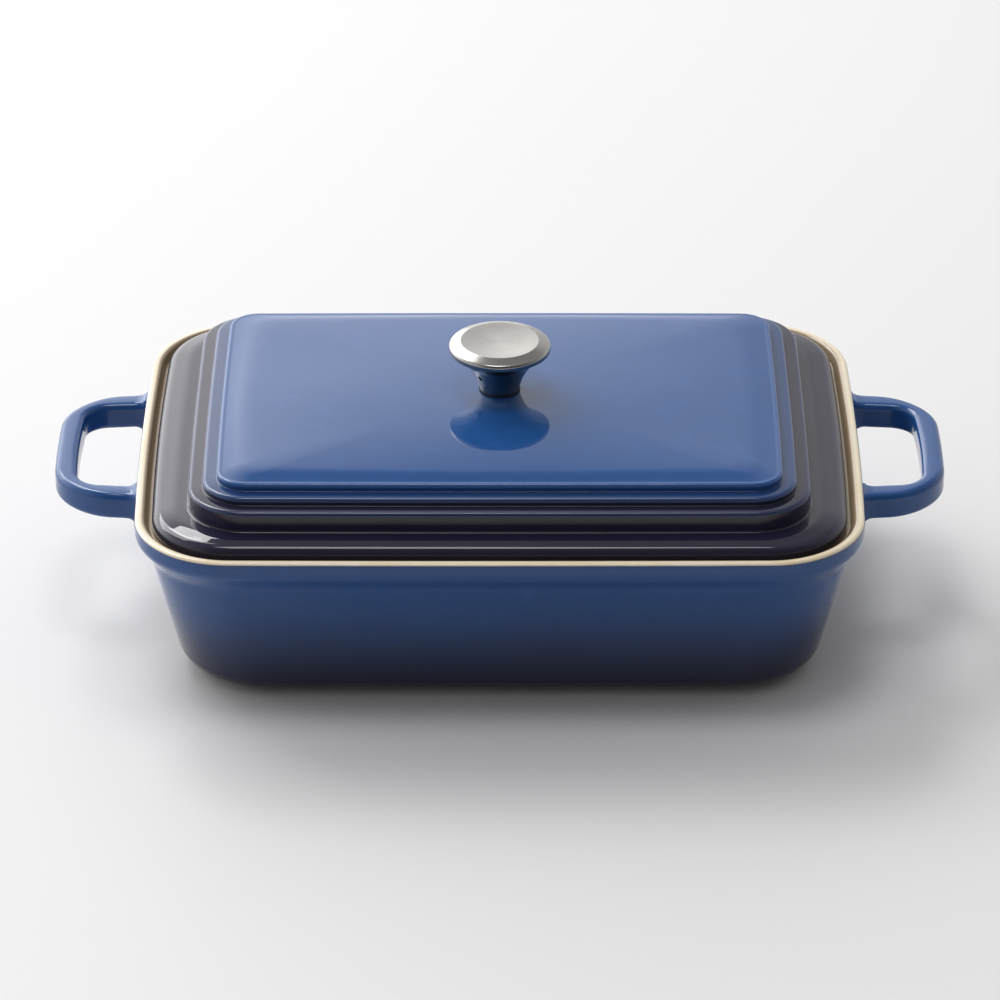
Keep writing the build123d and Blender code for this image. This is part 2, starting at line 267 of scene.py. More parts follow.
class MeshMaker:
    """Collects rings of points into one smooth mesh with values stored on its points."""

    def __init__(self, name: str) -> None:
        """Starts an empty mesh with a name.

        Args:
            name: Name of the mesh and of its object.
        """
        self.name = name
        self.points: list[Point] = []
        self.faces: list[tuple[int, ...]] = []
        self.values: dict[str, list[float]] = {}

    def ring(self, points: Iterable[Point], **values: float) -> list[int]:
        """Adds a ring of points.

        Args:
            points: The ring's points in order.
            values: Values stored on every point of the ring.

        Returns:
            The indices of the new points.
        """
        start = len(self.points)
        self.points.extend(points)
        indices = list(range(start, len(self.points)))
        for key, value in values.items():
            store = self.values.setdefault(key, [])
            store.extend([0.0] * (len(self.points) - len(store)))
            for index in indices:
                store[index] = value
        return indices

    def bridge(self, low: Sequence[int], high: Sequence[int]) -> None:
        """Joins two rings of the same length with four-sided faces.

        Args:
            low: Point numbers of the first ring.
            high: Point numbers of the second ring.
        """
        for k in range(len(low)):
            n = (k + 1) % len(low)
            self.faces.append((low[k], low[n], high[n], high[k]))

    def cap(self, ring: Sequence[int], flip: bool = False) -> None:
        """Closes a ring with one flat face."""
        self.faces.append(tuple(reversed(ring)) if flip else tuple(ring))

    def build(self) -> bpy.types.Object:
        """Makes the Blender object.

        Returns:
            A smooth-shaded mesh object, linked to the scene.
        """
        mesh = bpy.data.meshes.new(self.name)
        mesh.from_pydata(self.points, [], self.faces)
        mesh.validate()
        for key, store in self.values.items():
            store.extend([0.0] * (len(self.points) - len(store)))
            attribute = mesh.attributes.new(key, "FLOAT", "POINT")
            attribute.data.foreach_set("value", store)
        mesh.shade_smooth()
        mesh.update()
        made = bpy.data.objects.new(self.name, mesh)
        bpy.context.scene.collection.objects.link(made)
        return made


def recalculate_outside(target: bpy.types.Object) -> None:
    """Turns every face of a mesh to point outwards.

    Args:
        target: The mesh object to change.
    """
    work = bmesh.new()
    work.from_mesh(target.data)
    bmesh.ops.recalc_face_normals(work, faces=work.faces)
    work.to_mesh(target.data)
    work.free()


def turned_piece(name: str, profile: Sequence[tuple[float, float]], count: int) -> bpy.types.Object:
    """A piece turned about the upright middle line, from a section that joins back to its start.

    Args:
        name: Name of the piece.
        profile: Radius and height of each point of its section, in order.
        count: Points round the piece.

    Returns:
        The new object, with the distance along the section stored as run.
    """
    maker = MeshMaker(name)
    rings = []
    run = 0.0
    previous = profile[0]
    for radius, height in profile:
        run += math.hypot(radius - previous[0], height - previous[1])
        previous = (radius, height)
        radius = max(radius, LEAST_RADIUS)
        circle = [
            (
                radius * math.cos(2 * math.pi * k / count),
                radius * math.sin(2 * math.pi * k / count),
                height,
            )
            for k in range(count)
        ]
        rings.append(maker.ring(circle, run=run / MM))
    for low, high in zip(rings, rings[1:] + rings[:1]):
        maker.bridge(low, high)
    made = maker.build()
    recalculate_outside(made)
    return made


def rounded_section(
    points: Sequence[tuple[float, float, float]], longest: float = 1.0 * MM
) -> list[tuple[float, float]]:
    """Samples a section given as radius, height and rounding of each corner."""
    stations = [Station(r, z, 1.0, round=rounding) for r, z, rounding in points]
    return [(s.inset, s.z) for s in Profile(stations, longest).samples]


def arc_through(
    start: tuple[float, float], middle: tuple[float, float], end: tuple[float, float], count: int
) -> list[tuple[float, float]]:
    """Points on the arc through three points.

    Args:
        start: First point.
        middle: A point the arc passes through.
        end: Last point.
        count: Number of steps.

    Returns:
        The points, the two ends included.
    """
    ax, ay = start
    bx, by = middle
    cx, cy = end
    d = 2 * (ax * (by - cy) + bx * (cy - ay) + cx * (ay - by))
    ux = ((ax**2 + ay**2) * (by - cy) + (bx**2 + by**2) * (cy - ay) + (cx**2 + cy**2) * (ay - by)) / d
    uy = ((ax**2 + ay**2) * (cx - bx) + (bx**2 + by**2) * (ax - cx) + (cx**2 + cy**2) * (bx - ax)) / d
    radius = math.hypot(ax - ux, ay - uy)
    first = math.atan2(ay - uy, ax - ux)
    last = math.atan2(cy - uy, cx - ux)
    sweep = (last - first + math.pi) % (2 * math.pi) - math.pi
    return [
        (ux + radius * math.cos(first + sweep * k / count), uy + radius * math.sin(first + sweep * k / count))
        for k in range(count + 1)
    ]


def smooth_step(value: float, low: float, high: float) -> float:
    """Rises smoothly from 0 at low to 1 at high."""
    t = max(0.0, min(1.0, (value - low) / (high - low)))
    return t * t * (3 - 2 * t)


# ---------------------------------------------------------------- shader tools
class Graph:
    """Short way to build a node tree."""

    def __init__(self, tree: bpy.types.NodeTree) -> None:
        """Wraps a node tree."""
        self.tree = tree

    def node(self, kind: str, inputs: Optional[dict] = None, **settings: object) -> bpy.types.Node:
        """Adds a node.

        Args:
            kind: The node's type name.
            inputs: Socket name or number to a value, or to a socket to link from.
            settings: Properties of the node.

        Returns:
            The new node.
        """
        made = self.tree.nodes.new(kind)
        for key, value in settings.items():
            setattr(made, key, value)
        for key, value in (inputs or {}).items():
            if isinstance(value, bpy.types.NodeSocket):
                self.tree.links.new(value, made.inputs[key])
            else:
                made.inputs[key].default_value = value
        return made

    def math(self, operation: str, a: object, b: object = 0.0, clamp: bool = False) -> bpy.types.NodeSocket:
        """Adds a math node and gives its output."""
        return self.node("ShaderNodeMath", {0: a, 1: b}, operation=operation, use_clamp=clamp).outputs[0]

    def mix(self, share: object, a: object, b: object) -> bpy.types.NodeSocket:
        """Blends two colours and gives the result.

        Args:
            share: Share of the second colour, a number or a socket.
            a: First colour.
            b: Second colour.

        Returns:
            The blended colour.
        """
        made = self.node("ShaderNodeMix", data_type="RGBA")
        for slot_number, value in ((0, share), (6, a), (7, b)):
            if isinstance(value, bpy.types.NodeSocket):
                self.tree.links.new(value, made.inputs[slot_number])
            elif slot_number == 0:
                made.inputs[0].default_value = value
            else:
                made.inputs[slot_number].default_value = (*value, 1.0)
        return made.outputs[2]

    def rise(self, value: object, low: object, high: object) -> bpy.types.NodeSocket:
        """Rises smoothly from 0 at low to 1 at high.

        Args:
            value: The value to follow.
            low: Where the rise starts.
            high: Where it ends.

        Returns:
            The risen value.
        """
        return self.node(
            "ShaderNodeMapRange", {0: value, 1: low, 2: high}, interpolation_type="SMOOTHSTEP"
        ).outputs[0]

    def stored(self, name: str) -> bpy.types.NodeSocket:
        """Reads a value stored on the mesh."""
        return self.node("ShaderNodeAttribute", attribute_name=name).outputs["Fac"]

    def noise(self, vector: object, scale: object, detail: float, rough: float = 0.5) -> bpy.types.NodeSocket:
        """Adds a noise texture and gives its value.

        Args:
            vector: Where to read the texture.
            scale: How fine it is.
            detail: How many octaves it has.
            rough: How strong the finer octaves are.

        Returns:
            The value, from 0 to 1.
        """
        return self.node(
            "ShaderNodeTexNoise", {"Vector": vector, "Scale": scale, "Detail": detail, "Roughness": rough}
        ).outputs[0]


class SocketKind(Enum):
    """Kinds of socket a node group can have."""

    NUMBER = "NodeSocketFloat"
    COLOUR = "NodeSocketColor"
    VECTOR = "NodeSocketVector"


def new_group(
    name: str, takes: dict[str, tuple[SocketKind, object]], gives: dict[str, SocketKind]
) -> tuple[bpy.types.NodeTree, Graph, bpy.types.Node, bpy.types.Node]:
    """Makes an empty shader node group.

    Args:
        name: Name of the group.
        takes: Its inputs: kind and starting value, or None.
        gives: Its outputs.

    Returns:
        The tree, a graph on it, and its input and output nodes.
    """
    tree = bpy.data.node_groups.new(name, "ShaderNodeTree")
    for label, (kind, start) in takes.items():
        made = tree.interface.new_socket(label, in_out="INPUT", socket_type=kind.value)
        if start is not None:
            made.default_value = start
    for label, kind in gives.items():
        tree.interface.new_socket(label, in_out="OUTPUT", socket_type=kind.value)
    graph = Graph(tree)
    return tree, graph, graph.node("NodeGroupInput"), graph.node("NodeGroupOutput")


class Effects:
    """Shader node groups that several finishes share."""

    def __init__(self) -> None:
        """Builds every group once."""
        self.waver = self._waver()
        self.wandering_line = self._wandering_line()
        self.specks = self._specks()
        self.turning = self._turning()
        self.smears = self._smears()

    @staticmethod
    def _waver() -> bpy.types.NodeTree:
        """Slow unevenness of a fired glaze, with a fine orange-peel on top.

        Returns:
            The node group.
        """
        tree, g, takes, gives = new_group(
            "glaze_waver",
            {
                "Vector": (SocketKind.VECTOR, None),
                "Slow Scale": (SocketKind.NUMBER, 28.0),
                "Fine Scale": (SocketKind.NUMBER, 420.0),
                "Fine Share": (SocketKind.NUMBER, 0.12),
            },
            {"Height": SocketKind.NUMBER},
        )
        slow = g.noise(takes.outputs["Vector"], takes.outputs["Slow Scale"], 2.0)
        fine = g.noise(takes.outputs["Vector"], takes.outputs["Fine Scale"], 1.0)
        both = g.math("MULTIPLY_ADD", fine, takes.outputs["Fine Share"])
        g.tree.links.new(slow, both.node.inputs[2])
        g.tree.links.new(both, gives.inputs["Height"])
        return tree

    @staticmethod
    def _wandering_line() -> bpy.types.NodeTree:
        """Mask that turns on past a distance, along a line that wanders a little.

        Returns:
            The node group.
        """
        tree, g, takes, gives = new_group(
            "wandering_line",
            {
                "Vector": (SocketKind.VECTOR, None),
                "Distance": (SocketKind.NUMBER, 0.0),
                "Start": (SocketKind.NUMBER, 0.0),
                "Softness": (SocketKind.NUMBER, 0.5),
                "Wander": (SocketKind.NUMBER, 0.5),
                "Scale": (SocketKind.NUMBER, 60.0),
            },
            {"Mask": SocketKind.NUMBER},
        )
        noise = g.noise(takes.outputs["Vector"], takes.outputs["Scale"], 3.0)
        centred = g.math("SUBTRACT", noise, 0.5)
        shift = g.math("MULTIPLY", centred, takes.outputs["Wander"])
        moved = g.math("SUBTRACT", g.math("ADD", takes.outputs["Distance"], shift), takes.outputs["Start"])
        ratio = g.math("DIVIDE", moved, takes.outputs["Softness"])
        g.tree.links.new(g.rise(ratio, 0.0, 1.0), gives.inputs["Mask"])
        return tree

    @staticmethod
    def _specks() -> bpy.types.NodeTree:
        """Small scattered specks, such as iron spots and pinholes in a glaze.

        Returns:
            The node group.
        """
        tree, g, takes, gives = new_group(
            "specks",
            {
                "Vector": (SocketKind.VECTOR, None),
                "Scale": (SocketKind.NUMBER, 160.0),
                "Size": (SocketKind.NUMBER, 0.12),
                "Rarity": (SocketKind.NUMBER, 0.6),
            },
            {"Mask": SocketKind.NUMBER},
        )
        cells = g.node(
            "ShaderNodeTexVoronoi", {"Vector": takes.outputs["Vector"], "Scale": takes.outputs["Scale"]}
        )
        near = g.math("LESS_THAN", cells.outputs["Distance"], takes.outputs["Size"])
        tone = g.node("ShaderNodeSeparateColor", {0: cells.outputs["Color"]}).outputs[0]
        rare = g.math("GREATER_THAN", tone, takes.outputs["Rarity"])
        g.tree.links.new(g.math("MULTIPLY", near, rare), gives.inputs["Mask"])
        return tree

    @staticmethod
    def _turning() -> bpy.types.NodeTree:
        """Fine rings left by a lathe tool, with uneven depth.

        Returns:
            The node group.
        """
        tree, g, takes, gives = new_group(
            "turning_lines",
            {"Run": (SocketKind.NUMBER, 0.0), "Pitch": (SocketKind.NUMBER, 0.18)},
            {"Height": SocketKind.NUMBER, "Tone": SocketKind.NUMBER},
        )
        phase = g.math("DIVIDE", takes.outputs["Run"], takes.outputs["Pitch"])
        row = g.node("ShaderNodeCombineXYZ", {0: phase}).outputs[0]
        uneven = g.noise(row, 1.0, 4.0, 0.7)
        wide = g.noise(row, 0.13, 2.0)
        wave = g.math("SINE", g.math("MULTIPLY", phase, 2 * math.pi))
        height = g.math("ADD", g.math("MULTIPLY", wave, 0.35), uneven)
        g.tree.links.new(height, gives.inputs["Height"])
        g.tree.links.new(g.math("MULTIPLY", g.math("ADD", uneven, wide), 0.5), gives.inputs["Tone"])
        return tree

    @staticmethod
    def _smears() -> bpy.types.NodeTree:
        """Faint handling marks and dust that dull a polished surface in patches.

        Returns:
            The node group.
        """
        tree, g, takes, gives = new_group(
            "smears",
            {
                "Vector": (SocketKind.VECTOR, None),
                "Scale": (SocketKind.NUMBER, 22.0),
                "Amount": (SocketKind.NUMBER, 0.06),
            },
            {"Value": SocketKind.NUMBER},
        )
        patch = g.noise(takes.outputs["Vector"], takes.outputs["Scale"], 6.0, 0.65)
        spread = g.rise(patch, 0.42, 0.72)
        g.tree.links.new(g.math("MULTIPLY", spread, takes.outputs["Amount"]), gives.inputs["Value"])
        return tree


def new_material(name: str) -> tuple[bpy.types.Material, Graph, bpy.types.Node, bpy.types.NodeSocket]:
    """Makes a material with one Principled shader.

    Args:
        name: Name of the material.

    Returns:
        The material, a graph on its tree, the shader and the piece's own coordinates.
    """
    material = bpy.data.materials.new(name)
    material.use_nodes = True
    graph = Graph(material.node_tree)
    shader = material.node_tree.nodes["Principled BSDF"]
    place = graph.node("ShaderNodeTexCoord").outputs["Object"]
    return material, graph, shader, place


def group_node(graph: Graph, group: bpy.types.NodeTree, **inputs: object) -> bpy.types.Node:
    """Places a node group in a material.

    Args:
        graph: The material's graph.
        group: The group to place.
        inputs: Values or sockets, with _ for the spaces in the sockets' names.

    Returns:
        The group node.
    """
    named = {key.replace("_", " "): value for key, value in inputs.items()}
    made = graph.node("ShaderNodeGroup", node_tree=group)
    for key, value in named.items():
        if isinstance(value, bpy.types.NodeSocket):
            graph.tree.links.new(value, made.inputs[key])
        else:
            made.inputs[key].default_value = value
    return made


# ---------------------------------------------------------------- finishes
@dataclass(frozen=True)
class GlazeFinish:
    """Glossy reactive glaze that fades from blue to near black, cream where it ends, with painted shade as a
    tan band on the cream in the gap under the lid.
    """

    name: str
    blue: Colour = (0.0165, 0.078, 0.255)
    deep: Colour = (0.0205, 0.0190, 0.0435)
    cream: Colour = (0.82, 0.735, 0.57)
    # painted shade: tan stands in for the shade in the gap between the lid and the rim
    tan: Colour = (0.25, 0.17, 0.095)
    brown: Colour = (0.20, 0.115, 0.05)
    clay: Colour = (0.56, 0.47, 0.35)
    cloudiness: float = 0.16
    streak_share: float = 0.35
    # share of the lighter crest tint: thinner glaze there plus painted highlight on the ridge lines
    crest_share: float = 0.2
    dot_share: float = 0.12
    fleck_share: float = 0.5
    edge_share: float = 0.2
    # share and span of the painted shade, in millimetres past the cream edge; the cavity beyond stays cream
    gap_shade_share: float = 0.85
    gap_shade_from: tuple[float, float] = (1.7, 3.4)
    gap_shade_until: tuple[float, float] = (11.5, 15.0)
    line_softness: float = 0.6
    line_wander: float = 0.3
    roughness: float = 0.028
    clay_roughness: float = 0.55
    waver: float = 0.08
    specular: float = 0.5
    refraction: float = 1.5

    def build(self, effects: Effects) -> bpy.types.Material:
        """Makes the glaze.

        Args:
            effects: The shared node groups.

        Returns:
            The material, which reads the values fade, crest, rim and foot from the mesh.
        """
        material, g, shader, place = new_material(self.name)
        rim, foot = g.stored("rim"), g.stored("foot")
        bare = self._line(g, effects, place, foot, Start=0.0, Softness=0.4, Wander=0.5, Scale=80.0)
        grain = g.noise(place, 900.0, 3.0, 0.7)
        colour = self._blue_glaze(g, effects, place)
        edge = self._line(g, effects, place, rim, Start=-1.4, Scale=90.0)
        colour = g.mix(g.math("MULTIPLY", edge, self.edge_share), colour, self.brown)
        inside = self._line(g, effects, place, rim, Start=-0.9, Scale=70.0)
        colour = g.mix(inside, colour, self._cream_glaze(g, effects, place, rim))
        clay = g.mix(g.rise(grain, 0.3, 0.8), self.clay, tuple(c * 0.78 for c in self.clay))
        colour = g.mix(bare, colour, clay)
        g.tree.links.new(colour, shader.inputs["Base Color"])
        smear = group_node(g, effects.smears, Vector=place, Scale=20.0, Amount=0.03).outputs["Value"]
        unglazed = g.math("MULTIPLY", bare, self.clay_roughness)
        rough = g.math("ADD", g.math("ADD", self.roughness, smear), unglazed)
        g.tree.links.new(rough, shader.inputs["Roughness"])
        height = group_node(
            g, effects.waver, Vector=place, Slow_Scale=26.0, Fine_Scale=380.0, Fine_Share=0.05
        ).outputs["Height"]
        gritty = g.math("ADD", height, g.math("MULTIPLY", g.math("MULTIPLY", grain, bare), 0.5))
        bump = g.node("ShaderNodeBump", {"Strength": self.waver, "Distance": 0.0004, "Height": gritty})
        g.tree.links.new(bump.outputs[0], shader.inputs["Normal"])
        shader.inputs["IOR"].default_value = self.refraction
        shader.inputs["Specular IOR Level"].default_value = self.specular
        return material

    def _line(
        self, g: Graph, effects: Effects, place: bpy.types.NodeSocket, distance: object, **changes: float
    ) -> bpy.types.NodeSocket:
        """Mask past a wandering line.

        Args:
            g: The material's graph.
            effects: The shared node groups.
            place: The piece's own coordinates.
            distance: Distance across the line, in millimetres.
            changes: The line's start and scale, and any softness or wander of its own.

        Returns:
            The mask, 1 past the line.
        """
        settings = {"Softness": self.line_softness, "Wander": self.line_wander, **changes}
        made = group_node(g, effects.wandering_line, Vector=place, Distance=distance, **settings)
        return made.outputs["Mask"]

    def _blue_glaze(
        self, g: Graph, effects: Effects, place: bpy.types.NodeSocket
    ) -> bpy.types.NodeSocket:
        """Colour of the blue glaze.

        Args:
            g: The material's graph.
            effects: The shared node groups.
            place: The piece's own coordinates.

        Returns:
            The colour, near black where fade is 1 and lighter on the crests, where the glaze runs thin and a
            painted highlight stands for the ridge lines.
        """
        cloud = g.noise(place, 14.0, 4.0, 0.6)
        shift = g.math("MULTIPLY", g.math("SUBTRACT", cloud, 0.5), self.cloudiness)
        tone = g.rise(g.math("ADD", g.stored("fade"), shift), 0.0, 1.0)
        glaze = g.mix(tone, self.blue, self.deep)
        streak = g.noise(place, 70.0, 3.0, 0.7)
        lighter = tuple(min(1.0, c * 1.35 + 0.004) for c in self.blue)
        room = g.math("SUBTRACT", self.streak_share, tone, True)
        glaze = g.mix(g.math("MULTIPLY", g.rise(streak, 0.5, 0.8), room), glaze, lighter)
        # lighter blue on crests: thinner glaze there, and painted highlight along the ridge lines
        thin_glaze_and_highlight = tuple(min(1.0, c * 1.9 + 0.02) for c in self.blue)
        glaze = g.mix(g.math("MULTIPLY", g.stored("crest"), self.crest_share), glaze, thin_glaze_and_highlight)
        dots = group_node(g, effects.specks, Vector=place, Scale=210.0, Size=0.16, Rarity=0.82)
        return g.mix(g.math("MULTIPLY", dots.outputs["Mask"], self.dot_share), glaze, self.deep)

    def _cream_glaze(
        self, g: Graph, effects: Effects, place: bpy.types.NodeSocket, rim: bpy.types.NodeSocket
    ) -> bpy.types.NodeSocket:
        """Colour of the cream glaze.

        Args:
            g: The material's graph.
            effects: The shared node groups.
            place: The piece's own coordinates.
            rim: Distance past the cream edge, in millimetres.

        Returns:
            The colour, speckled everywhere, with painted shade as a tan band inside the rim where the lid
            shades it.
        """
        patch = g.noise(place, 24.0, 5.0, 0.6)
        warm = tuple(c * k for c, k in zip(self.cream, (0.93, 0.86, 0.74)))
        cream = g.mix(g.rise(patch, 0.35, 0.75), self.cream, warm)
        flecks = group_node(g, effects.specks, Vector=place, Scale=130.0, Size=0.13, Rarity=0.78)
        cream = g.mix(g.math("MULTIPLY", flecks.outputs["Mask"], self.fleck_share), cream, self.brown)
        # painted shade: tan over the inner lip, seat and lid underside, where the gap is in shade
        near, far = self.gap_shade_until
        painted_gap_shade = g.math("MULTIPLY", g.rise(rim, *self.gap_shade_from), g.rise(rim, far, near))
        return g.mix(g.math("MULTIPLY", painted_gap_shade, self.gap_shade_share), cream, self.tan)


@dataclass(frozen=True)
class SteelFinish:
    """Stainless steel with fine turning lines round the piece."""

    name: str
    colour: Colour = (0.62, 0.605, 0.58)
    roughness: float = 0.26
    anisotropic: float = 0.75
    pitch: float = 0.22
    depth: float = 0.05
    line_shade: float = 0.93
    line_dulling: float = 0.08

    def build(self, effects: Effects) -> bpy.types.Material:
        """Makes the steel.

        Args:
            effects: The shared node groups.

        Returns:
            The material, which reads the distance along the section from the mesh.
        """
        material, g, shader, place = new_material(self.name)
        lines = group_node(g, effects.turning, Run=g.stored("run"), Pitch=self.pitch)
        darker = tuple(c * self.line_shade for c in self.colour)
        colour = g.mix(g.rise(lines.outputs["Tone"], 0.35, 0.65), darker, self.colour)
        smear = group_node(g, effects.smears, Vector=place, Scale=60.0, Amount=0.03)
        g.tree.links.new(colour, shader.inputs["Base Color"])
        dulling = g.math("MULTIPLY", lines.outputs["Tone"], self.line_dulling)
        rough = g.math("ADD", dulling, self.roughness - self.line_dulling / 2)
        g.tree.links.new(g.math("ADD", rough, smear.outputs["Value"]), shader.inputs["Roughness"])
        bump = g.node(
            "ShaderNodeBump", {"Strength": self.depth, "Distance": 0.00004, "Height": lines.outputs["Height"]}
        )
        g.tree.links.new(bump.outputs[0], shader.inputs["Normal"])
        shader.inputs["Metallic"].default_value = 1.0
        shader.inputs["Anisotropic"].default_value = self.anisotropic
        tangent = g.node("ShaderNodeTangent", direction_type="RADIAL", axis="Z")
        g.tree.links.new(tangent.outputs[0], shader.inputs["Tangent"])
        return material


@dataclass(frozen=True)
class RubberFinish:
    """Matte silicone or rubber with a faint moulded grain."""

    name: str
    colour: Colour = (0.012, 0.012, 0.013)
    roughness: float = 0.62

    def build(self, effects: Effects) -> bpy.types.Material:
        """Makes the rubber.

        Args:
            effects: The shared node groups.

        Returns:
            The material.
        """
        material, g, shader, place = new_material(self.name)
        smear = group_node(g, effects.smears, Vector=place, Scale=160.0, Amount=0.6).outputs["Value"]
        lighter = tuple(min(1.0, c * 1.6 + 0.01) for c in self.colour)
        g.tree.links.new(g.mix(smear, self.colour, lighter), shader.inputs["Base Color"])
        dull = group_node(g, effects.smears, Vector=place, Scale=60.0, Amount=0.15).outputs["Value"]
        g.tree.links.new(g.math("ADD", dull, self.roughness), shader.inputs["Roughness"])
        grain = g.noise(place, 2600.0, 2.0)
        bump = g.node("ShaderNodeBump", {"Strength": 0.2, "Distance": 0.00005, "Height": grain})
        g.tree.links.new(bump.outputs[0], shader.inputs["Normal"])
        return material


@dataclass(frozen=True)
class FloorFinish:
    """Plain pale studio surface."""

    name: str = "pale_floor"
    colour: Colour = (0.79, 0.785, 0.79)
    roughness: float = 0.45

    def build(self) -> bpy.types.Material:
        """Makes the floor's material, with a barely visible cloudiness.

        Returns:
            The material.
        """
        material, g, shader, place = new_material(self.name)
        cloud = g.noise(place, 3.0, 4.0)
        darker = tuple(c * 0.985 for c in self.colour)
        g.tree.links.new(g.mix(cloud, self.colour, darker), shader.inputs["Base Color"])
        shader.inputs["Roughness"].default_value = self.roughness
        shader.inputs["Specular IOR Level"].default_value = 0.3
        return material


# ---------------------------------------------------------------- the dish
@dataclass
class RingCounts:
    """How finely each outline is divided."""

    per_corner: int = 22
    per_end: int = 14
    per_side: int = 18


@dataclass
class Dish:
    """The dish with its collar, foot, lid seat, cavity and two handle loops."""

    rim_half_x: float = 160.0 * MM
    rim_corner: float = 43.0 * MM
    rim_wall: float = 5.0 * MM
    lip_slope: float = 0.9 * MM
    rim_round: float = 1.8 * MM
    collar_height: float = 11.5 * MM
    collar_step: float = 5.4 * MM
    collar_taper: float = 8.5 * MM
    draft: float = 11.8
    base_corner: float = 37.0 * MM
    base_round: float = 12.5 * MM
    floor: float = 8.1 * MM
    cavity_draft: float = 10.5
    cavity_round: float = 18.0 * MM
    foot_height: float = 1.6 * MM
    foot_inset: float = 10.5 * MM
    foot_width: float = 7.0 * MM
    seat_depth: float = 4.0 * MM
    seat_width: float = 6.0 * MM
    handle_width: float = 90.0 * MM
    handle_bar: float = 10.0 * MM
    handle_arm: float = 9.6 * MM
    handle_splay: float = 3.6 * MM
    finger_splay: float = 2.0 * MM
    handle_thickness: float = 12.4 * MM
    handle_drop: float = 2.8 * MM
    handle_corner: float = 28.0 * MM
    finger_corner: float = 10.5 * MM
    handle_bow: float = 1.6 * MM
    handle_round: float = 2.8 * MM
    handle_flare: float = 2.6 * MM
    finger_flare: float = -1.6 * MM
    flare_reach: float = 9.0 * MM
    flare_power: float = 2.2
    root_depth: float = 5.0 * MM
    root_round: float = 4.5 * MM
    root_top_share: float = 0.35
    arm_steps: int = 26
    corner_steps: int = 16
    bar_steps: int = 12
    rim_bow: float = 2.8 * MM
    collar_hollow: float = 16.0 * MM
    collar_swell: float = 8.0 * MM
    lip_round: float = 1.9 * MM
    seat_round: float = 1.2 * MM
    foot_round: float = 0.7 * MM
    foot_fillet: float = 0.8 * MM
    middle_depth: float = 22.0 * MM
    middle_corner: float = 4.0 * MM
    base_steps: int = 14
    fade_low: float = -0.12
    fade_high: float = 0.95
    cream_lead: float = 1.2
    clay_spread: float = 0.6
    counts: RingCounts = field(default_factory=RingCounts)

    def __post_init__(self) -> None:
        """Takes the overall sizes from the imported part."""
        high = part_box("dish")[1]
        self.height = high.z
        self.reach = high.x
        self.rim_half_y = high.y

    def wall_inset(self, level: float) -> float:
        """How far the outside wall stands in from the rim at a height."""
        drop = self.height - self.collar_height - level
        return self.collar_step + drop * math.tan(math.radians(self.draft))

    def _stations(self) -> list[Station]:
        """The wall's profile, from under the middle, round the rim, to the floor inside.

        Returns:
            The stations, in order.
        """
        top = self.height
        low_collar = top - self.collar_height - self.collar_taper / 2
        low_inset = self.wall_inset(low_collar)
        foot_out = self.wall_inset(self.foot_height) + self.foot_inset
        foot_in = foot_out + self.foot_width
        base = self.wall_inset(self.foot_height)
        seat = top - self.seat_depth
        mouth = self.rim_wall + self.seat_width
        lip = self.rim_wall - self.lip_slope
        ledge = self.rim_wall + self.lip_slope
        floor_inset = mouth + (seat - self.floor) * math.tan(math.radians(self.cavity_draft))
        rim = self.rim_corner
        middle = self.rim_half_y - self.middle_depth
        outer_foot = self.base_corner - self.foot_inset
        inner_foot = outer_foot - self.foot_width
        return [
            Station(middle, self.foot_height, self.middle_corner),
            Station(foot_in, self.foot_height, inner_foot, round=self.foot_fillet),
            Station(foot_in, 0.0, inner_foot, round=self.foot_round),
            Station(foot_out, 0.0, outer_foot, round=self.foot_round),
            *self._base_curve(foot_out, base),
            Station(low_inset, low_collar, rim - low_inset, round=self.collar_hollow),
            Station(0.0, low_collar + self.collar_taper, rim, round=self.collar_swell),
            Station(0.0, top, rim, round=self.rim_round),
            Station(lip, top, rim - lip, round=self.lip_round),
            Station(ledge, seat, rim - ledge, round=self.seat_round),
            Station(mouth, seat, rim - mouth, round=self.seat_round),
            Station(floor_inset, self.floor, rim - floor_inset, round=self.cavity_round),
            Station(middle, self.floor, self.middle_corner),
        ]

    def _base_curve(self, foot_out: float, base: float) -> list[Station]:
        """The curve from the foot up to the wall, as closely spaced stations.

        Args:
            foot_out: Inset of the foot's outer edge.
            base: Inset of the wall where it would meet the underside.

        Returns:
            Stations from the foot's outer edge to the start of the straight wall.
        """
        slope = math.radians(self.draft)
        reach = self.base_round * math.tan((math.pi / 2 - slope) / 2)
        centre_inset = base + reach
        centre_z = self.foot_height + self.base_round
        first = math.asin(min(1.0, (centre_inset - foot_out) / self.base_round))
        last = math.pi / 2 - slope
        stations = []
        for k in range(self.base_steps + 1):
            angle = first + (last - first) * k / self.base_steps
            inset = centre_inset - self.base_round * math.sin(angle)
            level = centre_z - self.base_round * math.cos(angle)
            share = (inset - base) / (foot_out - base)
            corner = self.base_corner - self.foot_inset * share
            stations.append(Station(inset, level, corner))
        return stations

    def _fade(self, level: float) -> float:
        """How dark the glaze is at a height: 0 near the rim, 1 well under the foot."""
        return 1 - smooth_step(level / self.height, self.fade_low, self.fade_high)

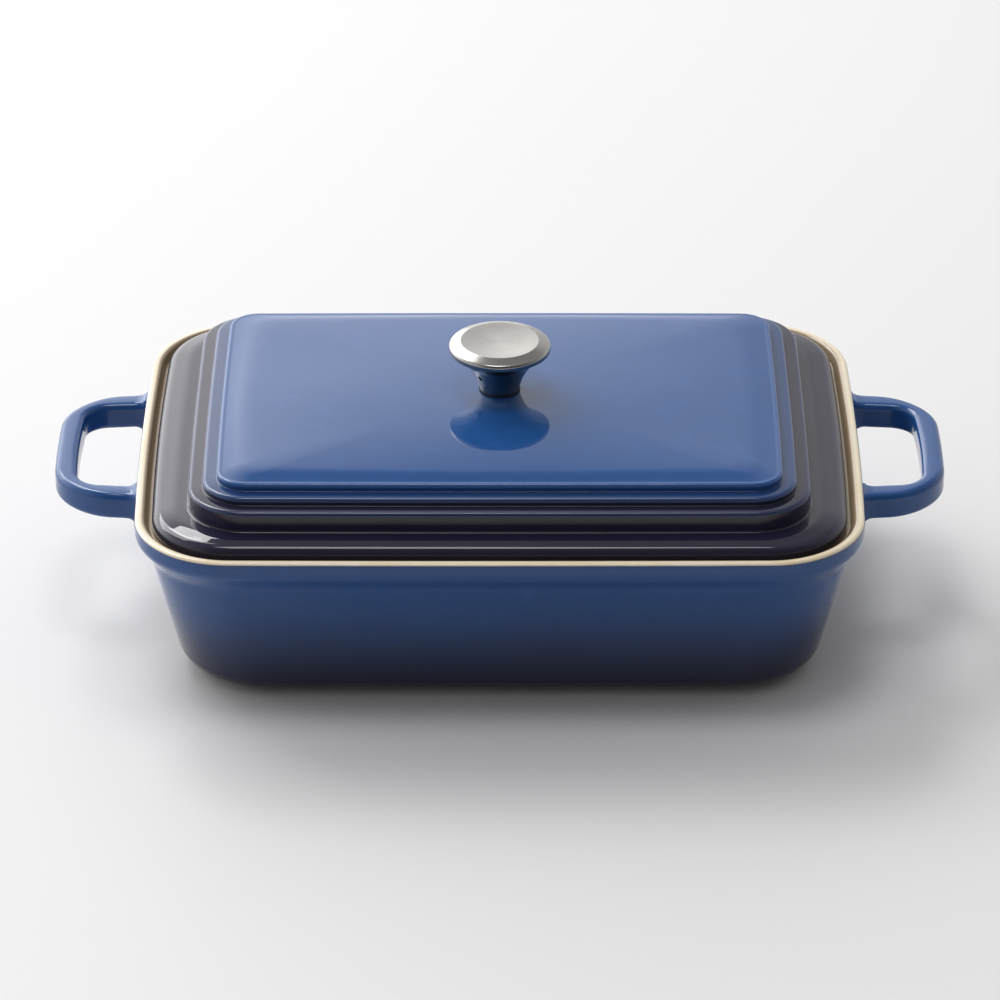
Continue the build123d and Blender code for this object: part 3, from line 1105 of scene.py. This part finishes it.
    def build_wall(self) -> bpy.types.Object:
        """Makes the dish's wall and floor as one closed mesh.

        Returns:
            The mesh object, with fade, rim, foot and crest values on its points.
        """
        profile = Profile(self._stations())
        runs = profile.runs()
        tops = [k for k, s in enumerate(profile.samples) if s.z > self.height - TINY]
        lowest = [k for k, s in enumerate(profile.samples) if s.z < TINY]
        foot_middle = runs[lowest[len(lowest) // 2]]
        foot_reach = self.foot_width / MM / 2 + self.clay_spread
        maker = MeshMaker("dish_body")
        rings = []
        for k, station in enumerate(profile.samples):
            plan = Plan(
                self.rim_half_x - station.inset - station.extra,
                self.rim_half_y - station.inset,
                station.corner,
                station.end_bow,
                station.side_bow,
            )
            outline = plan.ring(self.counts.per_corner, self.counts.per_end, self.counts.per_side)
            values = {
                "fade": self._fade(station.z),
                "rim": (runs[k] - runs[tops[0]]) / MM + self.cream_lead,
                "foot": foot_reach - abs(runs[k] - foot_middle) / MM,
                "crest": 0.0,
            }
            rings.append(maker.ring([(x, y, station.z) for x, y in outline], **values))
        for low, high in zip(rings, rings[1:]):
            maker.bridge(low, high)
        maker.cap(rings[0])
        maker.cap(rings[-1], flip=True)
        made = maker.build()
        recalculate_outside(made)
        return made

    def build_handle(self, side: int) -> bpy.types.Object:
        """Makes one handle loop.

        Args:
            side: 1 for the right handle, -1 for the left.

        Returns:
            The mesh object.
        """
        half = self.handle_width / 2
        bar = self.reach - self.handle_bar
        outer = self._loop_line(
            half, self.reach, self.handle_corner, self.handle_splay, self.handle_flare
        )
        inner = self._loop_line(
            half - self.handle_arm, bar, self.finger_corner, self.finger_splay, self.finger_flare
        )
        middle = self.height - self.handle_drop - self.handle_thickness / 2
        values = {"fade": self._fade(middle), "rim": -FAR, "foot": -FAR, "crest": 0.0}
        maker = MeshMaker("handle_right_skin" if side > 0 else "handle_left_skin")
        rings = []
        for (ox, oy), (ix, iy) in zip(outer, inner):
            gap = max(0.0, (ox + ix) / 2 - self.rim_half_x)
            swell = self._root_swell(gap)
            section = []
            width = math.hypot(ox - ix, oy - iy)
            for across, up in self._soft_box(width, self.handle_thickness, self.handle_round):
                share = 0.5 + 0.5 * across
                x = ix + (ox - ix) * share
                y = iy + (oy - iy) * share
                tall = self.handle_thickness / 2 * up
                lift = tall + swell * up * (1.0 if up < 0 else self.root_top_share)
                section.append((side * x, y, middle + lift))
            rings.append(maker.ring(section, **values))
        for low, high in zip(rings, rings[1:]):
            maker.bridge(low, high)
        maker.cap(rings[0])
        maker.cap(rings[-1], flip=True)
        made = maker.build()
        recalculate_outside(made)
        return made

    @staticmethod
    def _soft_box(width: float, height: float, corner: float) -> list[tuple[float, float]]:
        """A round-cornered section with a slightly crowned top and underside.

        Args:
            width: Width of the section.
            height: Height of the section.
            corner: Radius of its corners.

        Returns:
            Points of the section, each from -1 to 1 across and up.
        """
        arc_steps, flat_steps, sag = 8, 6, 0.035
        half_w, half_h = width / 2, height / 2
        points = []
        for quarter, (sx, sy) in enumerate(((1, 1), (-1, 1), (-1, -1), (1, -1))):
            for k in range(arc_steps + 1):
                angle = math.pi / 2 * (quarter + k / arc_steps)
                x = sx * (half_w - corner) + corner * math.cos(angle)
                y = sy * (half_h - corner) + corner * math.sin(angle)
                points.append((x, y))
            for k in range(1, flat_steps):
                along = 1 - 2 * k / flat_steps
                if quarter in (0, 2):
                    points.append((sx * (half_w - corner) * along, sy * half_h))
                else:
                    points.append((sx * half_w, sy * (half_h - corner) * along))
        return [(x / half_w, y / half_h * (1 - sag * (x / half_w) ** 2)) for x, y in points]

    def _root_swell(self, gap: float) -> float:
        """How much thicker a handle arm is at a distance from the rim."""
        left = max(0.0, self.root_round - gap)
        return self.root_round - math.sqrt(max(self.root_round**2 - left**2, 0.0))

    def _loop_line(
        self, half: float, reach: float, corner: float, splay: float, flare: float
    ) -> list[tuple[float, float]]:
        """One edge of a handle loop in plan, from the back arm round to the front arm.

        Args:
            half: Half the width of the loop at this edge, at the bar.
            reach: How far out the bar's edge lies in the middle.
            corner: Radius of the loop's corners.
            splay: How far the arm's edge spreads on its way to the rim.
            flare: Extra spread of the edge where it leaves the rim.

        Returns:
            The edge's points.
        """
        tip = reach - self.handle_bow
        root = self.rim_half_x - self.root_depth
        wall = self.rim_half_x - self.rim_bow
        slope = math.atan2(splay, tip - self.rim_half_x)
        turn = math.pi / 2 - slope
        cut = corner * math.tan(turn / 2)
        start = tip - cut * math.cos(slope)
        points = []
        for k in range(self.arm_steps):
            x = root + (start - root) * k / self.arm_steps
            rise = (tip - max(x, wall)) * math.tan(slope)
            near = max(0.0, min(1.0, 1 - (x - wall) / self.flare_reach))
            points.append((x, half + rise + flare * near**self.flare_power))
        centre_x, centre_y = tip - corner, half - cut
        for k in range(self.corner_steps + 1):
            angle = math.pi / 2 - slope - turn * k / self.corner_steps
            x = centre_x + corner * math.cos(angle)
            y = centre_y + corner * math.sin(angle)
            bow = self.handle_bow * max(0.0, 1 - (y / half) ** 2) * math.cos(angle)
            points.append((x + bow, y))
        arm_and_corner = list(points)
        for k in range(1, 2 * self.bar_steps):
            y = centre_y * (1 - k / self.bar_steps)
            points.append((tip + self.handle_bow * (1 - (y / half) ** 2), y))
        return points + [(x, -y) for x, y in reversed(arm_and_corner)]

    def dress(self, glaze: bpy.types.Material) -> list[bpy.types.Object]:
        """Builds the dish and gives it its glaze.

        Args:
            glaze: The dish's glaze.

        Returns:
            The new pieces.
        """
        pieces = [self.build_wall(), self.build_handle(1), self.build_handle(-1)]
        for piece in pieces:
            piece.data.materials.append(glaze)
            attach(piece, "dish")
            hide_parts("dish")
        return pieces


# ---------------------------------------------------------------- the lid
@dataclass
class Lid:
    """The lid: flange, three steps, crowned plateau and hollow underside."""

    corner: float = 35.4 * MM
    edge: float = 8.6 * MM
    shoulder: float = 4.4 * MM
    flange_fall: float = 1.9 * MM
    flange_bend: float = 0.25 * MM
    flange_round: float = 16.0 * MM
    tread_fall: float = 0.35 * MM
    foot_round: float = 1.6 * MM
    end_flange: float = 16.8 * MM
    side_flange: float = 12.4 * MM
    step_width: float = 6.2 * MM
    rises: tuple[float, float, float] = (9.6 * MM, 3.7 * MM, 3.4 * MM)
    step_round: float = 1.7 * MM
    lowest_corner: float = 25.0 * MM
    corner_shrink: float = 6.0 * MM
    cove: float = 0.9 * MM
    tread_cove: float = 0.4 * MM
    crown: float = 3.7 * MM
    wall: float = 6.2 * MM
    mouth_inset: float = 17.5 * MM
    hollow_draft: float = 22.0
    hollow_round: float = 9.0 * MM
    hole_radius: float = 3.25 * MM
    bend_share: float = 0.6
    mouth_corner_loss: float = 14.0 * MM
    plateau_inset: float = 2.6 * MM
    plateau_corner_loss: float = 2.4 * MM
    ceiling_inset: float = 12.0 * MM
    ceiling_corner: float = 8.0 * MM
    fade_below: float = 8.0 * MM
    fade_above: float = 0.4 * MM
    cream_lead: float = 1.4
    crest_start: float = 1.0 * MM
    body_reach: float = 0.86
    shoulder_reach: float = 0.08
    shoulder_share: float = 0.28
    ring_bunching: float = 0.85
    oval_span: tuple[float, float] = (-0.05, 0.75)
    crown_rings: int = 46
    counts: RingCounts = field(default_factory=RingCounts)

    def __post_init__(self) -> None:
        """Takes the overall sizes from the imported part."""
        low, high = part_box("lid")
        self.half_x, self.half_y = high.x, high.y
        self.seat, self.top = low.z, high.z

    def _step(self, index: int, level: float, rounding: float) -> Station:
        """A corner of one step, counted from the lowest.

        Args:
            index: Number of the step, 0 for the lowest.
            level: Height of the corner.
            rounding: Radius that rounds it.

        Returns:
            The station at that corner.
        """
        return Station(
            self.side_flange + index * self.step_width,
            level,
            self.lowest_corner - index * self.corner_shrink,
            round=rounding,
            extra=self.end_flange - self.side_flange,
            end_bow=0.8 * MM,
            side_bow=0.5 * MM,
        )

    def _outer_stations(self) -> list[Station]:
        """Profile from the mouth of the hollow, over the edge and steps, to the plateau.

        Returns:
            The stations, in order.
        """
        flange = self.seat + self.edge
        levels = [flange + sum(self.rises[: k + 1]) for k in range(3)]
        inner = self._step(2, levels[2], 0.0)
        rim = Station(0.0, flange - self.flange_fall, self.corner, round=self.shoulder)
        cove = self._step(0, flange, self.cove)
        bend = replace(
            rim.towards(cove, self.bend_share), z=flange - self.flange_bend, round=self.flange_round
        )
        plateau = replace(
            inner, inset=inner.inset + self.plateau_inset, corner=inner.corner - self.plateau_corner_loss
        )
        return [
            Station(self.mouth_inset, self.seat, self.corner - self.mouth_corner_loss),
            Station(0.0, self.seat, self.corner, round=self.foot_round),
            rim,
            bend,
            cove,
            self._step(0, levels[0] - self.tread_fall, self.step_round),
            self._step(1, levels[0], self.tread_cove),
            self._step(1, levels[1] - self.tread_fall, self.step_round),
            self._step(2, levels[1], self.tread_cove),
            self._step(2, levels[2], self.step_round),
            plateau,
        ]

    def _inner_stations(self) -> list[Station]:
        """Profile of the hollow, from the ceiling's edge down to the mouth.

        Returns:
            The stations, in order.
        """
        ceiling = self.top - self.wall - self.crown
        run = (ceiling - self.seat) * math.tan(math.radians(self.hollow_draft))
        corner = self.corner - self.mouth_corner_loss
        return [
            Station(self.mouth_inset + run + self.ceiling_inset, ceiling, self.ceiling_corner),
            Station(self.mouth_inset + run, ceiling, corner - run, round=self.hollow_round),
            Station(self.mouth_inset, self.seat, corner),
        ]

    def _outline(self, station: Station) -> list[tuple[float, float]]:
        """Outline of the lid at one station.

        Args:
            station: Where the outline runs.

        Returns:
            The outline's points, anticlockwise.
        """
        plan = Plan(
            self.half_x - station.inset - station.extra,
            self.half_y - station.inset,
            station.corner,
            station.end_bow,
            station.side_bow,
        )
        return plan.ring(self.counts.per_corner, self.counts.per_end, self.counts.per_side)

    def _values(self, level: float, rim: float, crest: float) -> dict[str, float]:
        """Values for the glaze at a height and a distance past the cream edge.

        Args:
            level: Height of the points.
            rim: Distance past the cream edge, in millimetres.
            crest: How sharply the surface turns outwards.

        Returns:
            Each value by its name.
        """
        edge = self.top - self.crown
        return {
            "fade": 1 - smooth_step(level, edge - self.fade_below, edge + self.fade_above),
            "rim": rim,
            "foot": -FAR,
            "crest": crest,
        }

    def _dome(self, share: float) -> float:
        """Height of the plateau above its edge, at a share of the way to the middle.

        Args:
            share: Share of the way from the plateau's edge to the middle.

        Returns:
            The height, in metres.
        """
        body = 1 - (1 - min(1.0, share / self.body_reach)) ** 2
        shoulder = 1 - (1 - min(1.0, share / self.shoulder_reach)) ** 2
        return self.crown * (body + (shoulder - body) * self.shoulder_share)

    def build(self) -> bpy.types.Object:
        """Makes the lid as one closed mesh with the screw hole through it.

        Returns:
            The mesh object.
        """
        maker = MeshMaker("lid_body")
        rings: list[list[int]] = []
        inner = Profile(self._inner_stations(), 4.0 * MM)
        ceiling_edge = self._outline(inner.samples[0])
        low_edge = inner.samples[0].z
        for k in range(self.crown_rings, 0, -1):
            share = k / self.crown_rings
            rings.append(self._dome_ring(maker, ceiling_edge, low_edge, share, FAR))
        for station in inner.samples[:-1]:
            rings.append(self._wall_ring(maker, station, FAR, 0.0))
        outer = Profile(self._outer_stations(), 2.5 * MM)
        runs = outer.runs()
        for k, station in enumerate(outer.samples):
            past = self.mouth_inset / MM - self.cream_lead - runs[k] / MM
            raised = station.z > self.seat + self.edge + self.crest_start
            crest = self._crest(outer.samples, k) if raised else 0.0
            rings.append(self._wall_ring(maker, station, past, crest))
        plateau_edge = self._outline(outer.samples[-1])
        for k in range(1, self.crown_rings + 1):
            share = k / self.crown_rings
            rings.append(self._dome_ring(maker, plateau_edge, outer.samples[-1].z, share, -FAR))
        for low, high in zip(rings, rings[1:] + rings[:1]):
            maker.bridge(low, high)
        made = maker.build()
        recalculate_outside(made)
        return made

    @staticmethod
    def _crest(samples: Sequence[Station], index: int) -> float:
        """How sharply the profile turns outwards at a sample, from 0 to 1.

        Args:
            samples: The profile's samples.
            index: Number of the sample to judge.

        Returns:
            The sharpness.
        """
        if index in (0, len(samples) - 1):
            return 0.0
        full_turn = 0.2
        a, b, c = samples[index - 1], samples[index], samples[index + 1]
        cross = (b.inset - a.inset) * (c.z - b.z) - (b.z - a.z) * (c.inset - b.inset)
        turn = cross / max(b.distance(a) * c.distance(b), TINY**2)
        return max(0.0, min(1.0, -turn / full_turn))

    def _wall_ring(self, maker: MeshMaker, station: Station, rim: float, crest: float) -> list[int]:
        """One ring of the lid's wall, at a station of its profile.

        Args:
            maker: The mesh being made.
            station: Where the ring runs.
            rim: Distance past the cream edge, in millimetres.
            crest: How sharply the profile turns outwards there.

        Returns:
            The ring's point numbers.
        """
        points = [(x, y, station.z) for x, y in self._outline(station)]
        return maker.ring(points, **self._values(station.z, rim, crest))

    def _dome_ring(
        self, maker: MeshMaker, edge: Sequence[tuple[float, float]], level: float, share: float, rim: float
    ) -> list[int]:
        """One ring of the domed plateau or ceiling.

        Args:
            maker: The mesh being made.
            edge: The outline at the dome's edge.
            level: Height of that edge.
            share: How far in the ring lies, 1 at the screw hole.
            rim: Distance past the cream edge, in millimetres.

        Returns:
            The ring's point numbers.
        """
        widest = max(abs(x) for x, _ in edge)
        deepest = max(abs(y) for _, y in edge)
        points = []
        eased = share**self.ring_bunching
        roundness = 1 - (1 - smooth_step(eased, *self.oval_span)) ** 2
        for x, y in edge:
            angle = math.atan2(y / deepest, x / widest)
            oval_x, oval_y = widest * math.cos(angle), deepest * math.sin(angle)
            wide_x = x + (oval_x - x) * roundness
            wide_y = y + (oval_y - y) * roundness
            points.append(
                (
                    wide_x * (1 - eased) + self.hole_radius * math.cos(angle) * eased,
                    wide_y * (1 - eased) + self.hole_radius * math.sin(angle) * eased,
                    level + self._dome(eased),
                )
            )
        return maker.ring(points, **self._values(level + self._dome(eased), rim, 0.0))

    def dress(self, glaze: bpy.types.Material) -> list[bpy.types.Object]:
        """Builds the lid and gives it its glaze.

        Args:
            glaze: The lid's glaze.

        Returns:
            The new pieces.
        """
        piece = self.build()
        piece.data.materials.append(glaze)
        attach(piece, "lid")
        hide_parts("lid")
        return [piece]


# ---------------------------------------------------------------- the knob
@dataclass
class Knob:
    """The turned steel knob: flared body, bevelled cap and the gasket at its foot."""

    skin: float = 1.4 * MM
    foot_radius: float = 8.8 * MM
    hollow: float = 3.2 * MM
    band: float = 2.6 * MM
    disc_radius: float = 17.3 * MM
    dish: float = 0.6 * MM
    seam_lip: float = 1.6 * MM
    bore: float = 2.85 * MM
    vent_radius: float = 1.2 * MM
    vent_height: float = 8.2 * MM
    vent_bearing: float = 222.0
    vent_cut: tuple[float, float] = (4.0 * MM, 18.0 * MM)
    vent_sides: int = 32
    vent_sharp: float = 38.0
    cap_sharp: float = 50.0
    seam_gap: float = 0.15 * MM
    edge_round: float = 0.35 * MM
    bevel_round: float = 1.5 * MM
    disc_round: float = 0.45 * MM
    disc_border: float = 3.0 * MM
    border_fall: float = 0.16 * MM
    disc_steps: int = 30
    flare_steps: int = 40
    turned_count: int = 192
    gasket_bore: float = 3.25 * MM
    gasket_rounds: tuple[float, float] = (0.25 * MM, 0.3 * MM)

    def __post_init__(self) -> None:
        """Takes the heights and the head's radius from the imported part."""
        low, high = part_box("knob_body")
        self.foot, self.seam, self.radius = low.z, high.z, high.x
        self.cap_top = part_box("knob_cap")[1].z
        self.gasket_low, self.gasket_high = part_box("knob_gasket")

    def _flare(self, foot_radius: float, foot: float, top_radius: float) -> list[tuple[float, float]]:
        """The flare's curve, from the foot up to the seam."""
        waist = ((foot_radius + top_radius) / 2 - self.hollow, (foot + self.seam) / 2)
        return arc_through((foot_radius, foot), waist, (top_radius, self.seam), self.flare_steps)

    def build_body(self) -> bpy.types.Object:
        """Makes the flared shell with its vent hole.

        Returns:
            The mesh object.
        """
        outside = self._flare(self.foot_radius, self.foot, self.radius - self.seam_gap)
        inside = self._flare(
            self.foot_radius - self.skin, self.foot + self.skin, self.radius - self.seam_lip
        )
        foot_edge = rounded_section(
            [
                (self.bore, self.foot, 0.0),
                (self.foot_radius, self.foot, self.edge_round),
                outside[1] + (0.0,),
            ]
        )
        profile = foot_edge + outside[2:] + list(reversed(inside)) + [(self.bore, self.foot + self.skin)]
        made = turned_piece("knob_flare", profile, self.turned_count)
        self._drill_vent(made)
        return made

    def _drill_vent(self, target: bpy.types.Object) -> None:
        """Cuts the round vent hole through the flare.

        Args:
            target: The flare to cut.
        """
        cutter_maker = MeshMaker("vent_cutter")
        bearing = math.radians(self.vent_bearing)
        along = Vector((math.cos(bearing), math.sin(bearing), 0.0))
        across = Vector((-math.sin(bearing), math.cos(bearing), 0.0))
        centre = Vector((0.0, 0.0, self.foot + self.vent_height))
        rings = []
        for distance in self.vent_cut:
            ring = []
            for k in range(self.vent_sides):
                angle = 2 * math.pi * k / self.vent_sides
                spread = across * math.cos(angle) + Vector((0, 0, 1)) * math.sin(angle)
                ring.append(tuple(centre + along * distance + spread * self.vent_radius))
            rings.append(cutter_maker.ring(ring))
        cutter_maker.bridge(rings[0], rings[1])
        cutter_maker.cap(rings[0])
        cutter_maker.cap(rings[1], flip=True)
        cutter = cutter_maker.build()
        recalculate_outside(cutter)
        cut = target.modifiers.new("vent", "BOOLEAN")
        cut.object = cutter
        cut.operation = "DIFFERENCE"
        cut.solver = "EXACT"
        graph = bpy.context.evaluated_depsgraph_get()
        drilled = bpy.data.meshes.new_from_object(target.evaluated_get(graph))
        target.modifiers.clear()
        target.data = drilled
        bpy.data.objects.remove(cutter)
        target.data.set_sharp_from_angle(angle=math.radians(self.vent_sharp))

    def build_cap(self) -> bpy.types.Object:
        """Makes the cap: edge band, bevel and dished disc.

        Returns:
            The mesh object.
        """
        shoulder = self.seam + self.band
        start = self.disc_radius - self.disc_border
        outside = rounded_section(
            [
                (self.radius - self.seam_lip, self.seam, 0.0),
                (self.radius, self.seam, self.edge_round),
                (self.radius, shoulder, self.bevel_round),
                (self.disc_radius, self.cap_top, self.disc_round),
                (start, self.cap_top - self.border_fall, 0.0),
            ],
            longest=0.6 * MM,
        )
        disc = []
        for k in range(1, self.disc_steps + 1):
            radius = start * (1 - k / self.disc_steps)
            depth = self.border_fall + (self.dish - self.border_fall) * (1 - (radius / start) ** 2)
            disc.append((radius, self.cap_top - depth))
        inside = [
            (0.0, self.cap_top - self.dish - self.skin),
            (self.disc_radius - self.skin / 2, self.cap_top - self.skin),
            (self.radius - self.seam_lip, shoulder - self.skin / 2),
        ]
        made = turned_piece("knob_head", outside + disc + inside, self.turned_count)
        made.data.set_sharp_from_angle(angle=math.radians(self.cap_sharp))
        return made

    def build_gasket(self) -> bpy.types.Object:
        """Makes the thin gasket between the knob and the lid.

        Returns:
            The mesh object.
        """
        low, high = self.gasket_low.z, self.gasket_high.z
        outer = self.gasket_high.x
        profile = rounded_section(
            [
                (self.gasket_bore, low, 0.0),
                (outer, low, self.gasket_rounds[0]),
                (outer, high, self.gasket_rounds[1]),
                (self.gasket_bore, high, 0.0),
            ]
        )
        return turned_piece("knob_gasket_ring", profile, self.turned_count // 2)

    def dress(
        self, body: bpy.types.Material, cap: bpy.types.Material, gasket: bpy.types.Material
    ) -> list[bpy.types.Object]:
        """Builds the knob and gives each piece its finish.

        Args:
            body: Finish of the flare.
            cap: Finish of the head.
            gasket: Finish of the gasket.

        Returns:
            The new pieces.
        """
        plans: list[tuple[Callable[[], bpy.types.Object], bpy.types.Material, str, str]] = [
            (self.build_body, body, "turned_steel", "knob_body"),
            (self.build_cap, cap, "brushed_steel", "knob_cap"),
            (self.build_gasket, gasket, "black_gasket", "knob_gasket"),
        ]
        pieces = []
        for build, finish, slot_name, node in plans:
            piece = build()
            piece.data.materials.append(finish)
            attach(piece, "lid")
            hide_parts(node)
            pieces.append(piece)
        return pieces


@dataclass
class Fastening:
    """Screw, washer and seal under the lid, and the bush inside the knob."""

    bore: float = 2.85 * MM
    edge_round: float = 0.3 * MM
    seal_round: float = 0.5 * MM
    turned_count: int = 96

    def _flat_ring(self, node: str, name: str, rounding: float) -> bpy.types.Object:
        """A washer shape in the place of a CAD node.

        Args:
            node: The CAD node whose box gives the size.
            name: Name of the piece.
            rounding: Radius of its outer edges.

        Returns:
            The new object.
        """
        low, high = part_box(node)
        profile = rounded_section(
            [
                (self.bore, low.z, 0.0),
                (high.x, low.z, rounding),
                (high.x, high.z, rounding),
                (self.bore, high.z, 0.0),
            ]
        )
        return turned_piece(name, profile, self.turned_count)

    def dress(
        self, steel: bpy.types.Material, screw: bpy.types.Material, rubber: bpy.types.Material
    ) -> list[bpy.types.Object]:
        """Builds the washer and seal and gives every piece its finish.

        Args:
            steel: Finish of the washer and bush.
            screw: Finish of the screw.
            rubber: Finish of the seal.

        Returns:
            The new pieces.
        """
        washer = self._flat_ring("screw_washer", "screw_washer_ring", self.edge_round)
        seal = self._flat_ring("lid_seal", "lid_seal_ring", self.seal_round)
        for piece, finish, slot_name, node in (
            (washer, steel, "plain_steel", "screw_washer"),
            (seal, rubber, "grey_silicone", "lid_seal"),
        ):
            piece.data.materials.append(finish)
            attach(piece, "lid")
            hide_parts(node)
        for node, finish in (("knob_bush", steel), ("knob_screw", screw)):
            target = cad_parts[node]
            target.data.materials.clear()
            target.data.materials.append(finish)
        return [washer, seal]


# ---------------------------------------------------------------- the studio
@dataclass(frozen=True)
class SoftLight:
    """One square area light: its name, place, edge length and power in watts."""

    name: str
    place: Point
    size: float
    power: float


@dataclass
class Studio:
    """Floor, sky, lights and camera; spans give where a glow starts and is full."""

    distance: float = 2.49915
    aim_height: float = 0.04605
    pitch: float = 28.88
    lens: float = 200.6
    shift_x: float = 0.0003
    back_glow: float = 0.45
    left_gain: float = 2.05
    left_glow: float = 0.7
    overhead: float = 0.28
    dimmest: float = 0.13
    wall_span: tuple[float, float] = (0.70, 0.42)
    behind_span: tuple[float, float] = (-0.15, 0.75)
    left_span: tuple[float, float] = (0.17, -0.26)
    beside_span: tuple[float, float] = (-0.35, -0.95)
    overhead_span: tuple[float, float] = (-0.75, 0.25)
    aim: Point = (0.0, 0.0, 0.08)
    floor_half: float = 30.0
    lights: tuple[SoftLight, ...] = (
        SoftLight("key_light", (-1.35, 1.62, 1.95), 1.5, 34.0),
        SoftLight("window_light", (-0.60, 1.65, 1.77), 0.5, 6.2),
        SoftLight("top_light", (-0.15, -0.1, 2.6), 0.9, 13.0),
    )

    def build_floor(self) -> None:
        """Makes the plain pale floor."""
        mesh = bpy.data.meshes.new("studio_floor")
        half = self.floor_half
        mesh.from_pydata(
            [(-half, -half, 0), (half, -half, 0), (half, half, 0), (-half, half, 0)], [], [(0, 1, 2, 3)]
        )
        floor = bpy.data.objects.new("studio_floor", mesh)
        bpy.context.scene.collection.objects.link(floor)
        mesh.materials.append(FloorFinish().build())

    def build_sky(self) -> None:
        """Makes soft light from all round: brightest low down at the back left."""
        world = bpy.data.worlds.new("studio_sky")
        bpy.context.scene.world = world
        world.use_nodes = True
        g = Graph(world.node_tree)
        background = world.node_tree.nodes["Background"]
        way = g.node("ShaderNodeSeparateXYZ", {0: g.node("ShaderNodeTexCoord").outputs["Generated"]})
        across, deep, up = way.outputs[0], way.outputs[1], way.outputs[2]
        low = g.rise(up, *self.wall_span)
        behind = g.rise(deep, *self.behind_span)
        leftward = g.rise(across, *self.left_span)
        sided = g.math("MULTIPLY_ADD", leftward, self.left_gain)
        sided.node.inputs[2].default_value = self.back_glow
        wall = g.math("MULTIPLY", g.math("MULTIPLY", low, behind), sided)
        beside = g.math("MULTIPLY", g.rise(across, *self.beside_span), self.left_glow)
        overhead = g.math("MULTIPLY", g.rise(deep, *self.overhead_span), self.overhead)
        total = g.math("ADD", g.math("ADD", wall, beside), overhead)
        g.tree.links.new(g.math("ADD", total, self.dimmest), background.inputs["Strength"])
        background.inputs["Color"].default_value = (1.0, 0.995, 0.99, 1.0)

    def build_lights(self) -> None:
        """Makes the soft lights, each turned to the dish."""
        for soft in self.lights:
            light = bpy.data.lights.new(soft.name, "AREA")
            light.size = soft.size
            light.energy = soft.power
            made = bpy.data.objects.new(soft.name, light)
            made.location = soft.place
            made.rotation_mode = "QUATERNION"
            made.rotation_quaternion = (Vector(self.aim) - Vector(soft.place)).to_track_quat("-Z", "Y")
            bpy.context.scene.collection.objects.link(made)

    def build_camera(self) -> None:
        """Makes the camera at a front three-quarter height with a long lens."""
        camera = bpy.data.cameras.new("view_camera")
        camera.lens = self.lens
        camera.sensor_width = 36.0
        camera.shift_x = self.shift_x
        camera.clip_end = 100.0
        made = bpy.data.objects.new("view_camera", camera)
        down = math.radians(self.pitch)
        made.location = (
            0.0,
            -self.distance * math.cos(down),
            self.aim_height + self.distance * math.sin(down),
        )
        made.rotation_euler = (math.pi / 2 - down, 0.0, 0.0)
        bpy.context.scene.collection.objects.link(made)
        bpy.context.scene.camera = made

    def build(self) -> None:
        """Makes the whole studio."""
        self.build_floor()
        self.build_sky()
        self.build_lights()
        self.build_camera()
        settings = bpy.context.scene.view_settings
        settings.view_transform = "Standard"
        settings.look = "None"
        settings.exposure = 0.0


def main() -> None:
    """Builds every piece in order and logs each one."""
    logging.basicConfig(level=logging.INFO, format="%(name)s: %(message)s")
    effects = Effects()
    dish_glaze = GlazeFinish("dish_glaze_blue").build(effects)
    lid_glaze = GlazeFinish("lid_glaze_blue").build(effects)
    flare_steel = SteelFinish("flare_steel", colour=(0.40, 0.42, 0.41), roughness=0.16).build(effects)
    head_steel = SteelFinish(
        "head_steel", colour=(0.38, 0.37, 0.355), roughness=0.15, anisotropic=0.8
    ).build(effects)
    plain_steel = SteelFinish("plain_steel", colour=(0.5, 0.5, 0.5), anisotropic=0.3).build(effects)
    screw_steel = SteelFinish("screw_steel", colour=(0.52, 0.52, 0.52), anisotropic=0.2).build(effects)
    black = RubberFinish("black_rubber").build(effects)
    grey = RubberFinish("grey_silicone", colour=(0.30, 0.30, 0.31)).build(effects)
    groups = (
        Dish().dress(dish_glaze),
        Lid().dress(lid_glaze),
        Knob().dress(flare_steel, head_steel, black),
        Fastening().dress(plain_steel, screw_steel, grey),
    )
    for group in groups:
        for piece in group:
            LOG.info("%s: %d faces", piece.name, len(piece.data.polygons))
    Studio().build()


if __name__ == "__main__":
    main()
